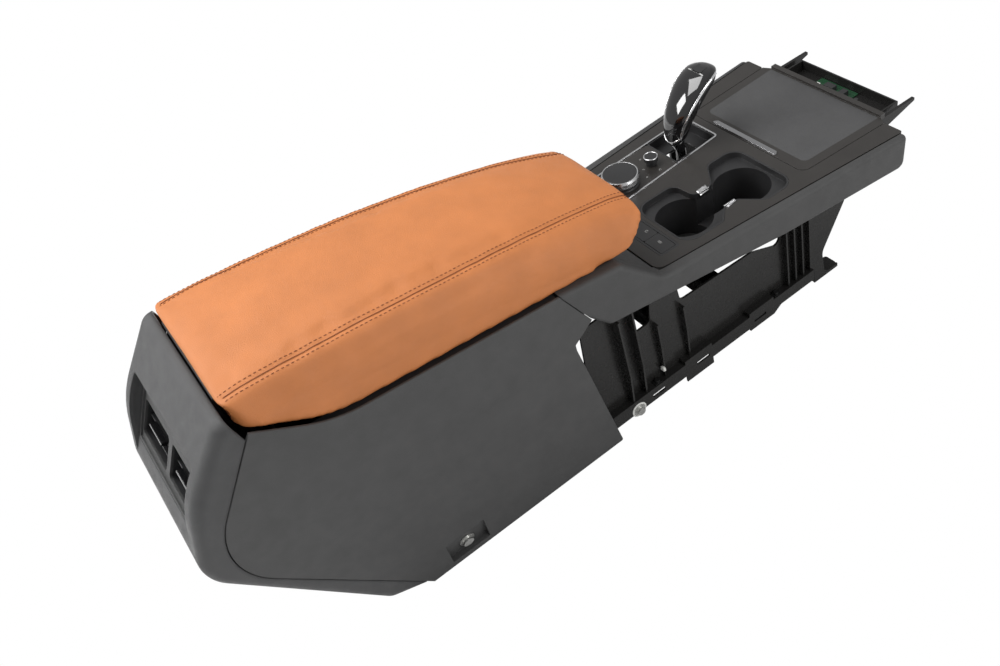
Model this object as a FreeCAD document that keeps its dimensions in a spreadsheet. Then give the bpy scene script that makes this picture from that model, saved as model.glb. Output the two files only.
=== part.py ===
import FreeCAD, Part
import math
import os
import Sketcher
from FreeCAD import Placement, Rotation, Vector

# Floor console of a car: a rear storage block under a hinged armrest, and a front deck
# with cup wells, shifter, rotary knobs and a sliding storage cover, on a moulded carrier.
# Frame: +X is the car's right, +Y its front, +Z up; the console stands on Z = 0.

SIZES = {
    # Side outline of the rear block; rearward distances are counted from the origin
    "half_rear": 115, "panel_wall": 3, "seam_gap": 0.8,
    "cap_front_y": 435.4, "cap_top_y": 446, "cap_top_z": 424, "cap_top_round": 18,
    "bulge_y": 514, "bulge_z": 348, "bulge_round": 160, "cheek_y": 549, "cheek_z": 250, "cheek_apex_round": 60,
    "apex_y": 556, "apex_z": 253, "recess_half": 90, "recess_low": 20,
    "cap_low_y": 398, "cap_low_z": 22, "cap_low_round": 24, "floor_start_y": 348,
    "cap_wall": 3.2, "cap_shift": 3.8, "cheek_round": 14,
    "seam_top_y": 423, "seam_top_z": 399, "seam_apex_y": 536, "seam_apex_z": 254.5,
    "seam_round": 100, "seam_foot_y": 341,
    "panel_front_y": 28, "panel_notch_y": 59, "panel_notch_z": 218, "panel_peak_z": 240,
    "panel_shoulder_y": 61, "panel_edge_round": 1.2,
    # Bolt pocket in the side panel
    "pocket_y": 279, "pocket_length": 58, "pocket_low": 9, "pocket_high": 50,
    "pocket_depth": 9.5, "pocket_back": 2, "pocket_hole": 7,
    # Lid line: the sloping edge on which the armrest closes
    "lid_line_z": 296.7, "lid_slope": 0.138, "lid_knee_y": 345, "lid_knee_round": 150,
    "lid_gap": 1.2,
    # Armrest cushion: crown heights and seam half widths from the rear to the nose
    "arm_rear_y": 428.6, "arm_low_half": 104.5, "arm_side_bulge": 7, "arm_crown": 5,
    "crown_rear": 441, "crown_back": 430, "crown_mid": 404, "crown_fore": 367, "crown_nose": 331,
    "seam_rear": 96, "seam_back": 95, "seam_mid": 90, "seam_fore": 78, "seam_nose": 62,
    "station_back": 300, "station_mid": 150, "arm_nose_y": 96, "arm_chin_y": 46,
    "arm_base_half": 96, "arm_base_rise": 10, "arm_base_drop": 2, "arm_base_front_y": 4,
    "release_half": 16, "release_rise": 6, "release_reach": 14, "release_stroke": 3,
    "tongue_half": 4, "tongue_reach": 4, "tongue_drop": 11, "striker_slot": 6,
    # Armrest hinge
    "hinge_z": 424, "hinge_pin_radius": 1.2, "hinge_knuckle_radius": 2.3,
    "hinge_length": 150, "hinge_sheet": 1.4, "hinge_clearance": 0.4, "run_clearance": 0.05,
    # Storage bin
    "bin_half": 98, "bin_wall": 2.5, "bin_rear_y": 400, "bin_front_y": 50, "bin_floor_z": 120,
    "bin_rim_half": 111.6, "bin_rim_drop": 4, "bin_round": 14, "bin_mat_thick": 2,
    # Rear air outlets, in the plane of the cap's upper face
    "vent_half": 88, "vent_low": 54, "vent_high": 143, "vent_recess": 3, "vent_plate": 3,
    "mouth_inner": 5, "mouth_outer": 83, "mouth_low": 64, "mouth_high": 110, "mouth_round": 5,
    "duct_wall": 1.8, "duct_depth": 48, "vane_pitch": 15.5, "vane_chord": 15, "vane_thick": 1.6,
    "vane_setback": 14, "vane_pin_radius": 1.5, "vane_end_gap": 0.5,
    "tab_length": 40, "tab_thick": 6, "tab_reach": 15,
    # Deck frame: height at the origin and fall towards the front
    "deck_rise": 240, "deck_fall": 2.58, "deck_thick": 4, "deck_rear": 80, "deck_front": 467,
    "deck_half_rear": 107, "rail_front": 10, "deck_corner": 14, "fit_gap": 0.3,
    # Fascia rails
    "half_front": 150, "groove": 2, "fascia_wall": 4, "fascia_round": 7, "fascia_ledge": 8,
    "fascia_inner": 101, "fascia_low_front": 167, "fascia_low_mid": 180, "fascia_mid_y": 263,
    "fascia_low_rear": 214, "fascia_tail_y": 6, "fascia_shoulder_y": 26, "fascia_foot_y": 78,
    "trim_thick": 3,
    # Cup wells
    "cup_left": -5, "cup_right": 100, "cup_rear": 134, "cup_waist_rear": 204, "cup_waist_front": 234,
    "cup_waist_left": 32, "cup_waist_right": 82, "cup_right_front": 110, "cup_left_front": -2,
    "cup_shoulder": 258, "cup_front": 308, "cup_round": 22, "cup_waist_round": 9,
    "cup_ledge": 9, "cup_depth": 72, "cup_wall": 2.5,
    "well_rear_x": 49, "well_rear_y": 173, "well_front_x": 57, "well_front_y": 265,
    "well_radius": 37.5, "well_neck_half": 20, "grip_thick": 1.6, "grip_length": 26, "grip_drop": 11,
    "mat_thick": 2,
    # Shifter frame, control field and lever
    "frame_left_rear": -96, "frame_right_rear": -22, "frame_left_front": -106,
    "frame_right_front": -38, "frame_rear": 120, "frame_front": 313, "frame_width": 2.4,
    "frame_proud": 0.8, "frame_round": 6, "panel_front": 236, "control_thick": 3,
    "well_depth": 14, "well_wall": 2, "slot_length": 40, "slot_width": 22,
    "lever_x": -66, "lever_y": 268, "pivot_drop": 46, "lever_half": 16, "lever_round": 6,
    "lever_neck": 15, "lever_top": 95, "lever_boss": 10, "lever_pin_radius": 4, "trim_width": 4.5, "trim_proud": 0.7,
    "park_length": 15, "park_half": 8, "park_thick": 4, "base_cheek": 4,
    # Knobs
    "rotary_x": -59, "rotary_y": 158, "rotary_radius": 26, "rotary_height": 17,
    "rotary_rim": 3, "collar_height": 5, "shaft_radius": 5,
    "volume_x": -60, "volume_y": 212, "volume_radius": 9.5, "volume_height": 13,
    # Button bank
    "bank_left": 18, "bank_right": 92, "bank_rear": 98, "bank_front": 129, "bank_border": 3,
    "bank_depth": 14, "button_gap": 0.6, "button_stroke": 1.5, "button_round": 3,
    # Sliding cover, its rails and the front tray
    "cover_rear": 326.4, "cover_half_rear": 104, "cover_half_front": 110, "cover_gap": 1,
    "cover_thick": 5, "cover_front": 481, "cover_corner": 12, "inset_margin": 13,
    "inset_thick": 1.5, "ridge_half": 99, "ridge_start": 473, "ridge_proud": 3.5,
    "handle_left": -68, "handle_right": 55, "handle_width": 7, "handle_proud": 1.5,
    "rail_inner": 93, "rail_thick": 4.6, "rail_drop": 26, "rail_foot": 3, "rail_tip": 540.5,
    "rail_taper": 62, "rib_thick": 4, "rib_drop": 13, "rib_length": 108,
    "tray_half": 86, "tray_wall": 2.5, "tray_rear": 338, "tray_front": 522, "tray_split": 478,
    "tray_drop": 6, "tray_depth": 52, "board_depth": 14, "board_thick": 1.6,
    # Carrier frames under the deck
    "carrier_inner": 94, "carrier_wall": 3, "beam_outer": 108, "beam_high": 43, "beam_low": 18,
    "beam_rear_y": 330, "carrier_high": 150, "carrier_rear_high": 117.6, "upright_rear_y": 40,
    "upright_front_y": 30, "upright_high": 214, "arch_rear_y": 60, "arch_front_y": 112,
    "leg_rear_y": 285, "leg_front_y": 408, "foot_front_y": 394, "foot_thick": 6,
    "foot_hole": 4.5, "foot_hole_x": 83, "foot_hole_y": 372, "foot_inner": 74, "foot_length": 46,
    "step_y": 213, "step_low": 24, "flange_low": 20, "tab_start": 95, "tab_end": 143, "tab_low": 8, "box_start": 213,
    "box_end": 258, "box_low": 15, "box_rise": 6, "dip_z": 122, "dip_length": 50, "slot_first": 36, "slot_long": 22,
    "slot_low": 27, "slot_high": 5, "frame_bolt_y": 10, "frame_bolt_z": 25, "rib_plate": 2.5, "cross_width": 30, "cross_high": 28,
    "cross_front_y": 186, "cross_front_z": 88, "cross_middle_y": 66, "cross_rear_y": 250,
    "bolt_radius": 4, "bolt_head": 7.5, "bolt_head_thick": 4.5, "washer_radius": 11,
    "washer_thick": 1.6,
}

doc = FreeCAD.newDocument("floor_console")
sheet = doc.addObject("Spreadsheet::Sheet", "sizes")
for row, (alias, number) in enumerate(SIZES.items(), start=1):
    sheet.set(f"A{row}", alias)
    sheet.set(f"B{row}", str(number))
    sheet.setAlias(f"B{row}", alias)
doc.recompute()


class Size:
    """A length with its number and the sheet formula that it comes from."""

    def __init__(self, value, text):
        self.value = float(value)
        self.text = text

    def __add__(self, other):
        other = as_size(other)
        return Size(self.value + other.value, f"({self.text} + {other.text})")

    def __sub__(self, other):
        other = as_size(other)
        return Size(self.value - other.value, f"({self.text} - {other.text})")

    def __mul__(self, other):
        other = as_size(other)
        return Size(self.value * other.value, f"({self.text} * {other.text})")

    def __truediv__(self, other):
        other = as_size(other)
        return Size(self.value / other.value, f"({self.text} / {other.text})")

    def __radd__(self, other):
        return as_size(other) + self

    def __rsub__(self, other):
        return as_size(other) - self

    def __rmul__(self, other):
        return as_size(other) * self

    def __neg__(self):
        return Size(-self.value, f"(-1 * {self.text})")

    def __float__(self):
        return self.value


def as_size(number):
    if isinstance(number, Size):
        return number
    return Size(number, repr(float(number)))


class Sheet:
    """The driving dimensions by name."""

    def __getattr__(self, alias):
        return Size(sheet.get(alias), f"sizes.{alias}")


s = Sheet()
nodes = []


def node(obj, label):
    """Names a finished sub-part and puts it on the list of what is written."""
    obj.Label = label
    nodes.append(obj)
    return obj


# Sketches, pads and pockets

def new_body(name):
    return doc.addObject("PartDesign::Body", name)


def new_sketch(body, role, start):
    """A sketch on one of the body's own planes, moved along its normal by start."""
    sketch = body.newObject("Sketcher::SketchObject", f"{body.Name}_sketch")
    support = [part for part in body.Origin.OriginFeatures if part.Role == role]
    sketch.AttachmentSupport = [(support[0], "")]
    sketch.MapMode = "FlatFace"
    sketch.setExpression("AttachmentOffset.Base.z", as_size(start).text)
    return sketch


def place_point(sketch, geometry, position, corner):
    for kind, size in zip(("DistanceX", "DistanceY"), corner):
        size = as_size(size)
        rule = Sketcher.Constraint(kind, -1, 1, geometry, position, size.value)
        index = sketch.addConstraint(rule)
        sketch.setExpression(f"Constraints[{index}]", size.text)


def draw_circle(sketch, x, y, radius):
    radius = as_size(radius)
    centre = Vector(float(x), float(y), 0)
    circle = sketch.addGeometry(Part.Circle(centre, Vector(0, 0, 1), radius.value))
    place_point(sketch, circle, 3, (x, y))
    index = sketch.addConstraint(Sketcher.Constraint("Radius", circle, radius.value))
    sketch.setExpression(f"Constraints[{index}]", radius.text)


def draw_outline(sketch, corners):
    """A closed outline of (u, v) or (u, v, radius) corners, rounded where a radius is given."""
    count = len(corners)
    spots = [Vector(float(c[0]), float(c[1]), 0) for c in corners]
    radii = [as_size(c[2]) if len(c) > 2 else None for c in corners]
    starts, ends, arcs = [], [], []
    for i in range(count):
        back = (spots[i - 1] - spots[i]).normalize()
        ahead = (spots[(i + 1) % count] - spots[i]).normalize()
        if radii[i] is None:
            ends.append(spots[i])
            starts.append(spots[i])
            arcs.append(None)
            continue
        half = back.getAngle(ahead) / 2
        reach = radii[i].value / math.tan(half)
        middle = (back + ahead).normalize()
        centre = spots[i] + middle * (radii[i].value / math.sin(half))
        ends.append(spots[i] + back * reach)
        starts.append(spots[i] + ahead * reach)
        left_turn = (back.cross(ahead)).z < 0
        arcs.append((centre, left_turn))
    lines = []
    for i in range(count):
        after = (i + 1) % count
        lines.append(sketch.addGeometry(Part.LineSegment(starts[i], ends[after])))
    for i in range(count):
        line_in, line_out = lines[i - 1], lines[i]
        if arcs[i] is None:
            sketch.addConstraint(Sketcher.Constraint("Coincident", line_in, 2, line_out, 1))
            place_point(sketch, line_out, 1, corners[i])
            continue
        centre, left_turn = arcs[i]
        first, last = (ends[i], starts[i]) if left_turn else (starts[i], ends[i])
        circle = Part.Circle(centre, Vector(0, 0, 1), radii[i].value)
        angles = [math.atan2(p.y - centre.y, p.x - centre.x) for p in (first, last)]
        arc = sketch.addGeometry(Part.ArcOfCircle(circle, angles[0], angles[1]))
        touch = (1, 2) if left_turn else (2, 1)
        sketch.addConstraint(Sketcher.Constraint("Tangent", line_in, 2, arc, touch[0]))
        sketch.addConstraint(Sketcher.Constraint("Tangent", arc, touch[1], line_out, 1))
        index = sketch.addConstraint(Sketcher.Constraint("Radius", arc, radii[i].value))
        sketch.setExpression(f"Constraints[{index}]", radii[i].text)
        point = sketch.addGeometry(Part.Point(spots[i]), True)
        sketch.addConstraint(Sketcher.Constraint("PointOnObject", point, 1, line_in))
        sketch.addConstraint(Sketcher.Constraint("PointOnObject", point, 1, line_out))
        place_point(sketch, point, 1, corners[i])


def draw(sketch, outlines):
    for outline in outlines:
        if outline[0] == "circle":
            draw_circle(sketch, *outline[1:])
        else:
            draw_outline(sketch, outline)


def settle(*features):
    """Recomputes and stops at the first feature that fails."""
    doc.recompute()
    for feature in features:
        if "Invalid" in feature.State or feature.Shape.isNull():
            raise RuntimeError(f"{feature.Name} failed")


def extrude(body, kind, role, outlines, length, start=0, symmetric=False):
    """Pads or pockets the outlines along the plane's normal, or to both sides of the plane."""
    sketch = new_sketch(body, role, start)
    draw(sketch, outlines)
    doc.recompute()
    before = body.Shape.Volume if kind == "Pocket" else 0
    feature = body.newObject(f"PartDesign::{kind}", f"{body.Name}_{kind.lower()}")
    feature.Profile = sketch
    feature.setExpression("Length", as_size(length).text)
    if symmetric:
        feature.SideType = "Symmetric"
    elif kind == "Pocket":
        feature.Reversed = True
    body.Tip = feature
    settle(sketch, feature)
    if kind == "Pocket" and not body.Shape.Volume < before:
        raise RuntimeError(f"{body.Name}: the pocket cuts nothing")
    return body


def pad(name, role, outlines, length, start=0, symmetric=False):
    return extrude(new_body(name), "Pad", role, outlines, length, start, symmetric)


def add(body, role, outlines, length, start=0, symmetric=False):
    return extrude(body, "Pad", role, outlines, length, start, symmetric)


def cut(body, role, outlines, length, start=0, symmetric=False):
    return extrude(body, "Pocket", role, outlines, length, start, symmetric)


def round_edges(body, radius, wanted):
    """Rounds the edges of the body that wanted() picks."""
    base = body.Tip
    names = [f"Edge{i}" for i, edge in enumerate(base.Shape.Edges, start=1) if wanted(edge)]
    fillet = body.newObject("PartDesign::Fillet", f"{body.Name}_fillet")
    fillet.Base = (base, names)
    fillet.setExpression("Radius", as_size(radius).text)
    body.Tip = fillet
    settle(fillet)
    return body


def flat_at(axis, value, slack=0.01):
    """Picks edges that lie wholly in the plane axis = value."""
    def wanted(edge):
        box = edge.BoundBox
        low = getattr(box, f"{axis}Min")
        high = getattr(box, f"{axis}Max")
        return abs(low - float(value)) < slack and abs(high - float(value)) < slack
    return wanted


def rectangle(left, right, low, high, radius=None):
    corners = [(left, low), (right, low), (right, high), (left, high)]
    if radius is None:
        return corners
    return [corner + (radius,) for corner in corners]


def boolean(kind, name, *members):
    """Part::Cut, Part::Fuse or Part::Common of two objects, or Part::MultiFuse of several."""
    result = doc.addObject(f"Part::{kind}", name)
    if kind.startswith("Multi"):
        result.Shapes = list(members)
    else:
        result.Base, result.Tool = members
    doc.recompute()
    return result


def mirrored(source, label):
    """The left-hand copy of a right-hand sub-part."""
    copy = doc.addObject("Part::Mirroring", label)
    copy.Source = source
    copy.Base = Vector(0, 0, 0)
    copy.Normal = Vector(1, 0, 0)
    doc.recompute()
    return node(copy, label)


def shape_feature(name, shape, placement=None):
    feature = doc.addObject("Part::Feature", name)
    feature.Shape = shape
    if placement is not None:
        feature.Placement = placement
    return feature


def sheet_strip(points, thick, left, right):
    """A bent sheet: the polyline of (y, z) points with thick on its right hand, from left to right."""
    line = [Vector(float(left), float(y), float(z)) for y, z in points]
    offset = []
    for i, spot in enumerate(line):
        sides = []
        for a, b in ((i - 1, i), (i, i + 1)):
            if a >= 0 and b < len(line):
                run = (line[b] - line[a]).normalize()
                sides.append(Vector(0, run.z, -run.y))
        middle = sides[0] if len(sides) == 1 else (sides[0] + sides[1]).normalize()
        offset.append(spot + middle * (float(thick) / middle.dot(sides[0])))
    section = Part.Face(Part.makePolygon(line + offset[::-1] + [line[0]]))
    return section.extrude(Vector(float(right) - float(left), 0, 0))


def rod(x, y, z, axis, radius, length):
    return Part.makeCylinder(float(radius), float(length), Vector(float(x), float(y), float(z)), axis)


def deck_half_front():
    """Half width of the deck plate at its front end: the side rail's strip is left beside it."""
    return s.half_front - s.rail_front


def lid_z(y):
    """Height of the lid line at a place along the console."""
    return s.lid_line_z - s.lid_slope * y


DECK = Placement(Vector(0, 0, float(s.deck_rise)), Rotation(Vector(1, 0, 0), -float(s.deck_fall)))
FALL = math.radians(float(s.deck_fall))
vent_run = math.atan2(float(s.cap_top_z - s.apex_z), float(s.apex_y - s.cap_top_y))
VENT = Placement(Vector(0, -float(s.apex_y), float(s.apex_z)),
                 Rotation(Vector(1, 0, 0), math.degrees(vent_run)))


def deck_z(y, drop=0):
    """Height over the floor of the deck plane, or of a plane below it, at a place along the console."""
    slope = math.tan(FALL)
    return s.deck_rise - y * slope - drop * (1 / math.cos(FALL))


def on_deck(obj):
    """Puts a body that was drawn in the deck's own frame into place."""
    obj.Placement.Rotation = Rotation(Vector(1, 0, 0), -1)
    obj.setExpression("Placement.Base.z", s.deck_rise.text)
    obj.setExpression("Placement.Rotation.Angle", (-s.deck_fall).text)
    doc.recompute()
    return obj


# Rear block

def cap_outline(shift, wall, trim):
    """Side outline of the end cap, moved forward by shift and down from the top by wall."""
    return [(-s.cap_front_y + trim, s.cap_top_z - wall),
            (-s.cap_top_y + shift, s.cap_top_z - wall, s.cap_top_round - wall),
            (-s.bulge_y + shift, s.bulge_z, s.bulge_round - wall),
            (-s.cheek_y + shift, s.cheek_z, s.cheek_apex_round - wall),
            (-s.cap_low_y + shift, s.cap_low_z, s.cap_low_round - wall),
            (-s.floor_start_y + shift, -trim),
            (-s.floor_start_y + shift + trim, -trim)]


def rear_end_cap():
    outer = pad("cap_outer", "YZ_Plane", [cap_outline(0, 0, 0.0)[:6]], 2 * s.half_rear, symmetric=True)
    skin = float(s.half_rear)
    front_line = [Vector(0, -float(s.floor_start_y), 0), Vector(0, -float(s.cap_front_y), float(s.cap_top_z))]

    def cheek_edge(edge):
        if abs(abs(edge.BoundBox.XMin) - skin) > 0.01 or edge.BoundBox.XLength > 0.01:
            return False
        ends = [Vector(0, v.Point.y, v.Point.z) for v in edge.Vertexes]
        return not all(min(e.distanceToPoint(f) for f in front_line) < 0.01 for e in ends)

    round_edges(outer, s.cheek_round, cheek_edge)
    reach = as_size(30)
    inner = pad("cap_inner", "YZ_Plane", [cap_outline(s.cap_shift, s.cap_wall, reach)],
                2 * (s.half_rear - s.cap_wall), symmetric=True)
    skin = float(s.half_rear - s.cap_wall)
    front_line = [Vector(0, -float(s.floor_start_y - s.cap_shift - reach), -30),
                  Vector(0, -float(s.cap_front_y - reach), float(s.cap_top_z - s.cap_wall))]
    round_edges(inner, s.cheek_round - s.cap_wall, cheek_edge)
    wide, low = s.recess_half + s.cap_wall, -s.recess_low - s.cap_wall
    kept = pad("cap_backing", "XY_Plane", [rectangle(-wide, wide, low, s.vent_high + s.cap_wall)], 3 * reach, -s.cap_wall)
    kept.Placement = VENT
    hollow = boolean("Cut", "cap_hollow", inner, kept)
    solid = boolean("Cut", "cap_solid", outer, hollow)
    recess = pad("cap_recess", "XY_Plane", [rectangle(-s.recess_half, s.recess_half, -s.recess_low - 2 * reach,
                                                      s.vent_high, s.mouth_round)], 3 * reach)
    recess.Placement = VENT
    doc.recompute()
    shell = boolean("Cut", "cap_shell", solid, recess)
    behind = [(-s.seam_top_y - s.seam_gap, s.seam_top_z),
              (-s.seam_apex_y - s.seam_gap, s.seam_apex_z, s.seam_round),
              (-s.seam_foot_y - s.seam_gap, as_size(0)), (-s.seam_foot_y - s.seam_gap, -reach), (reach, -reach),
              (reach, s.cap_top_z + reach), (-s.seam_top_y - s.seam_gap, s.cap_top_z + reach)]
    front = pad("cap_front_space", "YZ_Plane", [behind], 4 * s.half_rear, symmetric=True)
    banded = boolean("Cut", "cap_banded", shell, front)
    window = pad("cap_window", "XY_Plane", [rectangle(-s.vent_half, s.vent_half, s.vent_low, s.vent_high,
                                                      s.mouth_round)], 3 * reach, -reach)
    window.Placement = VENT
    doc.recompute()
    return node(boolean("Cut", "rear_end_cap", banded, window), "rear_end_cap")


def panel_outline():
    rim = lid_z(-s.lid_knee_y) - s.lid_gap
    shoulder = lid_z(-s.panel_shoulder_y) - s.lid_gap
    return [(-s.seam_top_y, s.seam_top_z - s.lid_gap),
            (-s.seam_apex_y, s.seam_apex_z, s.seam_round),
            (-s.seam_foot_y, as_size(0)),
            (-s.panel_front_y, as_size(0), as_size(3)),
            (-s.panel_notch_y, s.panel_notch_z),
            (-s.panel_front_y, s.panel_peak_z),
            (-s.panel_shoulder_y, shoulder),
            (-s.lid_knee_y, rim, s.lid_knee_round)]


def right_side_panel():
    inner = s.half_rear - s.panel_wall
    body = pad("right_side_panel", "YZ_Plane", [panel_outline()], s.panel_wall, inner)
    round_edges(body, s.panel_edge_round, flat_at("X", s.half_rear))
    rear = -s.pocket_y - s.pocket_length / 2
    front = -s.pocket_y + s.pocket_length / 2
    back = s.pocket_depth + s.pocket_back
    add(body, "YZ_Plane", [rectangle(rear - s.pocket_back, front + s.pocket_back,
                                     s.pocket_low - s.pocket_back, s.pocket_high)],
        back - s.panel_wall, s.half_rear - back)
    slope = [(s.half_rear + 1, s.pocket_high - 4), (s.half_rear - 1, s.pocket_high - 4),
             (s.half_rear - s.pocket_depth, s.pocket_low), (s.half_rear + 1, s.pocket_low)]
    cut(body, "XZ_Plane", [slope], s.pocket_length, s.pocket_y, symmetric=True)
    cut(body, "YZ_Plane", [("circle", -s.pocket_y, pocket_middle(), s.pocket_hole)],
        2 * back, s.half_rear - 2 * back)
    return node(body, "right_side_panel")


def pocket_middle():
    return (s.pocket_low + s.pocket_high) / 2 - 3


def storage_bin():
    rim_front = lid_z(-s.bin_front_y) - s.bin_rim_drop
    rim_rear = lid_z(-s.bin_rear_y) - s.bin_rim_drop
    side = [(-s.bin_rear_y, s.bin_floor_z, s.bin_round), (-s.bin_front_y, s.bin_floor_z, s.bin_round),
            (-s.bin_front_y, rim_front), (-s.bin_rear_y, rim_rear)]
    body = pad("storage_bin", "YZ_Plane", [side], 2 * s.bin_half, symmetric=True)
    flange_end = -s.panel_shoulder_y - 2 * s.seam_gap
    rim_end = lid_z(flange_end) - s.bin_rim_drop
    flange = [(-s.bin_rear_y, rim_rear - s.bin_wall), (flange_end, rim_end - s.bin_wall),
              (flange_end, rim_end), (-s.bin_rear_y, rim_rear)]
    add(body, "YZ_Plane", [flange], 2 * s.bin_rim_half, symmetric=True)
    hollow = [(-s.bin_rear_y + s.bin_wall, s.bin_floor_z + s.bin_wall, s.bin_round - s.bin_wall),
              (-s.bin_front_y - s.bin_wall, s.bin_floor_z + s.bin_wall, s.bin_round - s.bin_wall),
              (-s.bin_front_y - s.bin_wall, rim_front + 40), (-s.bin_rear_y + s.bin_wall, rim_rear + 40)]
    cut(body, "YZ_Plane", [hollow], 2 * (s.bin_half - s.bin_wall), symmetric=True)
    node(body, "storage_bin")
    inset = s.bin_wall + s.bin_round
    mat = pad("bin_mat", "XY_Plane", [rectangle(-s.bin_half + inset, s.bin_half - inset,
                                                -s.bin_rear_y + inset, -s.bin_front_y - inset, as_size(8))],
              s.bin_mat_thick, s.bin_floor_z + s.bin_wall)
    node(mat, "bin_mat")


# Armrest lid

def lid_profile(grow):
    """Side outline of the armrest; grow lifts its lower edge."""
    knee = lid_z(-s.lid_knee_y)
    heel = knee + (s.seam_top_z - knee) * (s.arm_rear_y - s.lid_knee_y) / (s.seam_top_y - s.lid_knee_y)
    return [(-s.arm_rear_y, heel + grow), (-s.lid_knee_y, knee + grow, s.lid_knee_round),
            (s.arm_chin_y, lid_z(s.arm_chin_y) + grow, as_size(10)),
            (s.arm_nose_y, s.crown_nose - 6, as_size(14)),
            (s.arm_nose_y - 34, s.crown_nose + 22, as_size(30)),
            (s.arm_nose_y - 60, s.crown_rear + 40),
            (-s.arm_rear_y + 40, s.crown_rear + 40),
            (-s.arm_rear_y, s.crown_rear - 8, as_size(8))]


def armrest():
    stations = [(-s.arm_rear_y - 2, s.crown_rear, s.seam_rear), (-s.station_back, s.crown_back, s.seam_back),
                (-s.station_mid, s.crown_mid, s.seam_mid), (as_size(0), s.crown_fore, s.seam_fore),
                (s.arm_nose_y + 2, s.crown_nose, s.seam_nose)]
    wires = []
    for y, crown, half in stations:
        low = float(lid_z(y)) - 30
        seam_z = float(crown - s.arm_crown)
        middle_z = (low + 30 + seam_z) / 2
        bulge = (float(half) + float(s.arm_low_half)) / 2 + float(s.arm_side_bulge)
        corner = [Vector(float(s.arm_low_half), float(y), low), Vector(bulge, float(y), middle_z),
                  Vector(float(half), float(y), seam_z), Vector(0, float(y), float(crown))]
        mirror = [Vector(-p.x, p.y, p.z) for p in corner]
        wires.append(Part.Wire([Part.Arc(corner[0], corner[1], corner[2]).toShape(),
                                Part.Arc(corner[2], corner[3], mirror[2]).toShape(),
                                Part.Arc(mirror[2], mirror[1], mirror[0]).toShape(),
                                Part.LineSegment(mirror[0], corner[0]).toShape()]))
    crown = shape_feature("cushion_crown", Part.makeLoft(wires, True))
    side = pad("cushion_side", "YZ_Plane", [lid_profile(0)], 4 * s.half_rear, symmetric=True)
    whole = boolean("Common", "cushion_whole", crown, side)
    y_rear, y_front = -s.lid_knee_y + 12, s.arm_base_front_y
    base_outline = [(y_rear, lid_z(y_rear) - s.arm_base_drop), (y_front, lid_z(y_front) - s.arm_base_drop),
                    (y_front, lid_z(y_front) + s.arm_base_rise), (y_rear, lid_z(y_rear) + s.arm_base_rise)]
    base = pad("armrest_base", "YZ_Plane", [base_outline], 2 * s.arm_base_half, symmetric=True)
    padded = boolean("Cut", "cushion_padded", whole, base)
    rear, front, low = release_space(s.fit_gap)
    side = s.release_half + s.fit_gap
    room = pad("release_room", "XY_Plane", [rectangle(-side, side, rear, front, as_size(2))],
               s.release_rise + s.release_stroke + 12, low - 11)
    cushion = boolean("Cut", "armrest_cushion", padded, room)
    node(cushion, "armrest_cushion")
    node(base, "armrest_base")


def armrest_hinge():
    """Piano hinge along the lid's rear edge: bracket on the bin, leaf on the lid, and the pin."""
    radius = float(s.hinge_knuckle_radius)
    sheet_thick = float(s.hinge_sheet)
    gap = float(s.hinge_clearance)
    half = float(s.hinge_length) / 2
    axis_y, axis_z = -float(s.arm_rear_y) - radius, float(s.hinge_z)
    neck = axis_z - radius - gap
    knee = lid_z(-s.lid_knee_y)
    heel = lid_profile(0)[0][1]
    base_rear = -s.lid_knee_y + 12
    bin_back, rim = -s.bin_rear_y, lid_z(-s.bin_rear_y) - s.bin_rim_drop
    fixed_face = axis_y - radius + sheet_thick
    paths = {
        "hinge_bracket": [(fixed_face, neck), (fixed_face, axis_z - 32), (bin_back, rim - 18),
                          (bin_back, rim - 60)],
        "hinge_leaf": [(-s.arm_rear_y, neck), (-s.arm_rear_y, heel), (-s.lid_knee_y, knee - 0.2),
                       (base_rear, lid_z(base_rear) - s.arm_base_drop),
                       (base_rear + 30, lid_z(base_rear + 30) - s.arm_base_drop)],
    }
    knuckle = 2 * half / 5
    bore = rod(-half - 1, axis_y, axis_z, Vector(1, 0, 0), s.hinge_pin_radius + s.run_clearance, 2 * half + 2)
    for name, places, tongue_y in (("hinge_bracket", (0, 2, 4), axis_y - radius),
                                   ("hinge_leaf", (1, 3), -float(s.arm_rear_y) - sheet_thick)):
        leaf = sheet_strip(paths[name], sheet_thick, -half, half)
        for place in places:
            start = -half + place * knuckle + gap / 2
            tube = rod(start, axis_y, axis_z, Vector(1, 0, 0), radius, knuckle - gap)
            tongue = Part.makeBox(knuckle - gap, sheet_thick, axis_z - neck + 1,
                                  Vector(start, tongue_y, neck - 1))
            leaf = leaf.fuse([tube, tongue])
        node(shape_feature(name, leaf.cut(bore).removeSplitter()), name)
    pin = rod(-half, axis_y, axis_z, Vector(1, 0, 0), s.hinge_pin_radius, 2 * half)
    node(shape_feature("hinge_pin", pin), "hinge_pin")


def release_space(grow):
    """Box of the release paddle in the lid's underside; grow adds room round it."""
    rear = s.arm_base_front_y + s.fit_gap - grow
    front = s.arm_base_front_y + s.fit_gap + s.release_reach + grow
    middle = s.arm_base_front_y + s.release_reach / 2
    return rear, front, lid_z(middle) - s.arm_base_drop


def armrest_release():
    rear, front, low = release_space(as_size(0))
    body = pad("armrest_release", "XY_Plane", [rectangle(-s.release_half, s.release_half, rear, front, as_size(2))],
               s.release_rise, low)
    hook_y = rear + s.release_reach / 4
    add(body, "XY_Plane", [rectangle(-s.tongue_half, s.tongue_half, hook_y, hook_y + s.tongue_reach)],
        s.tongue_drop, low - s.tongue_drop)
    node(body, "armrest_release")


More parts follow.
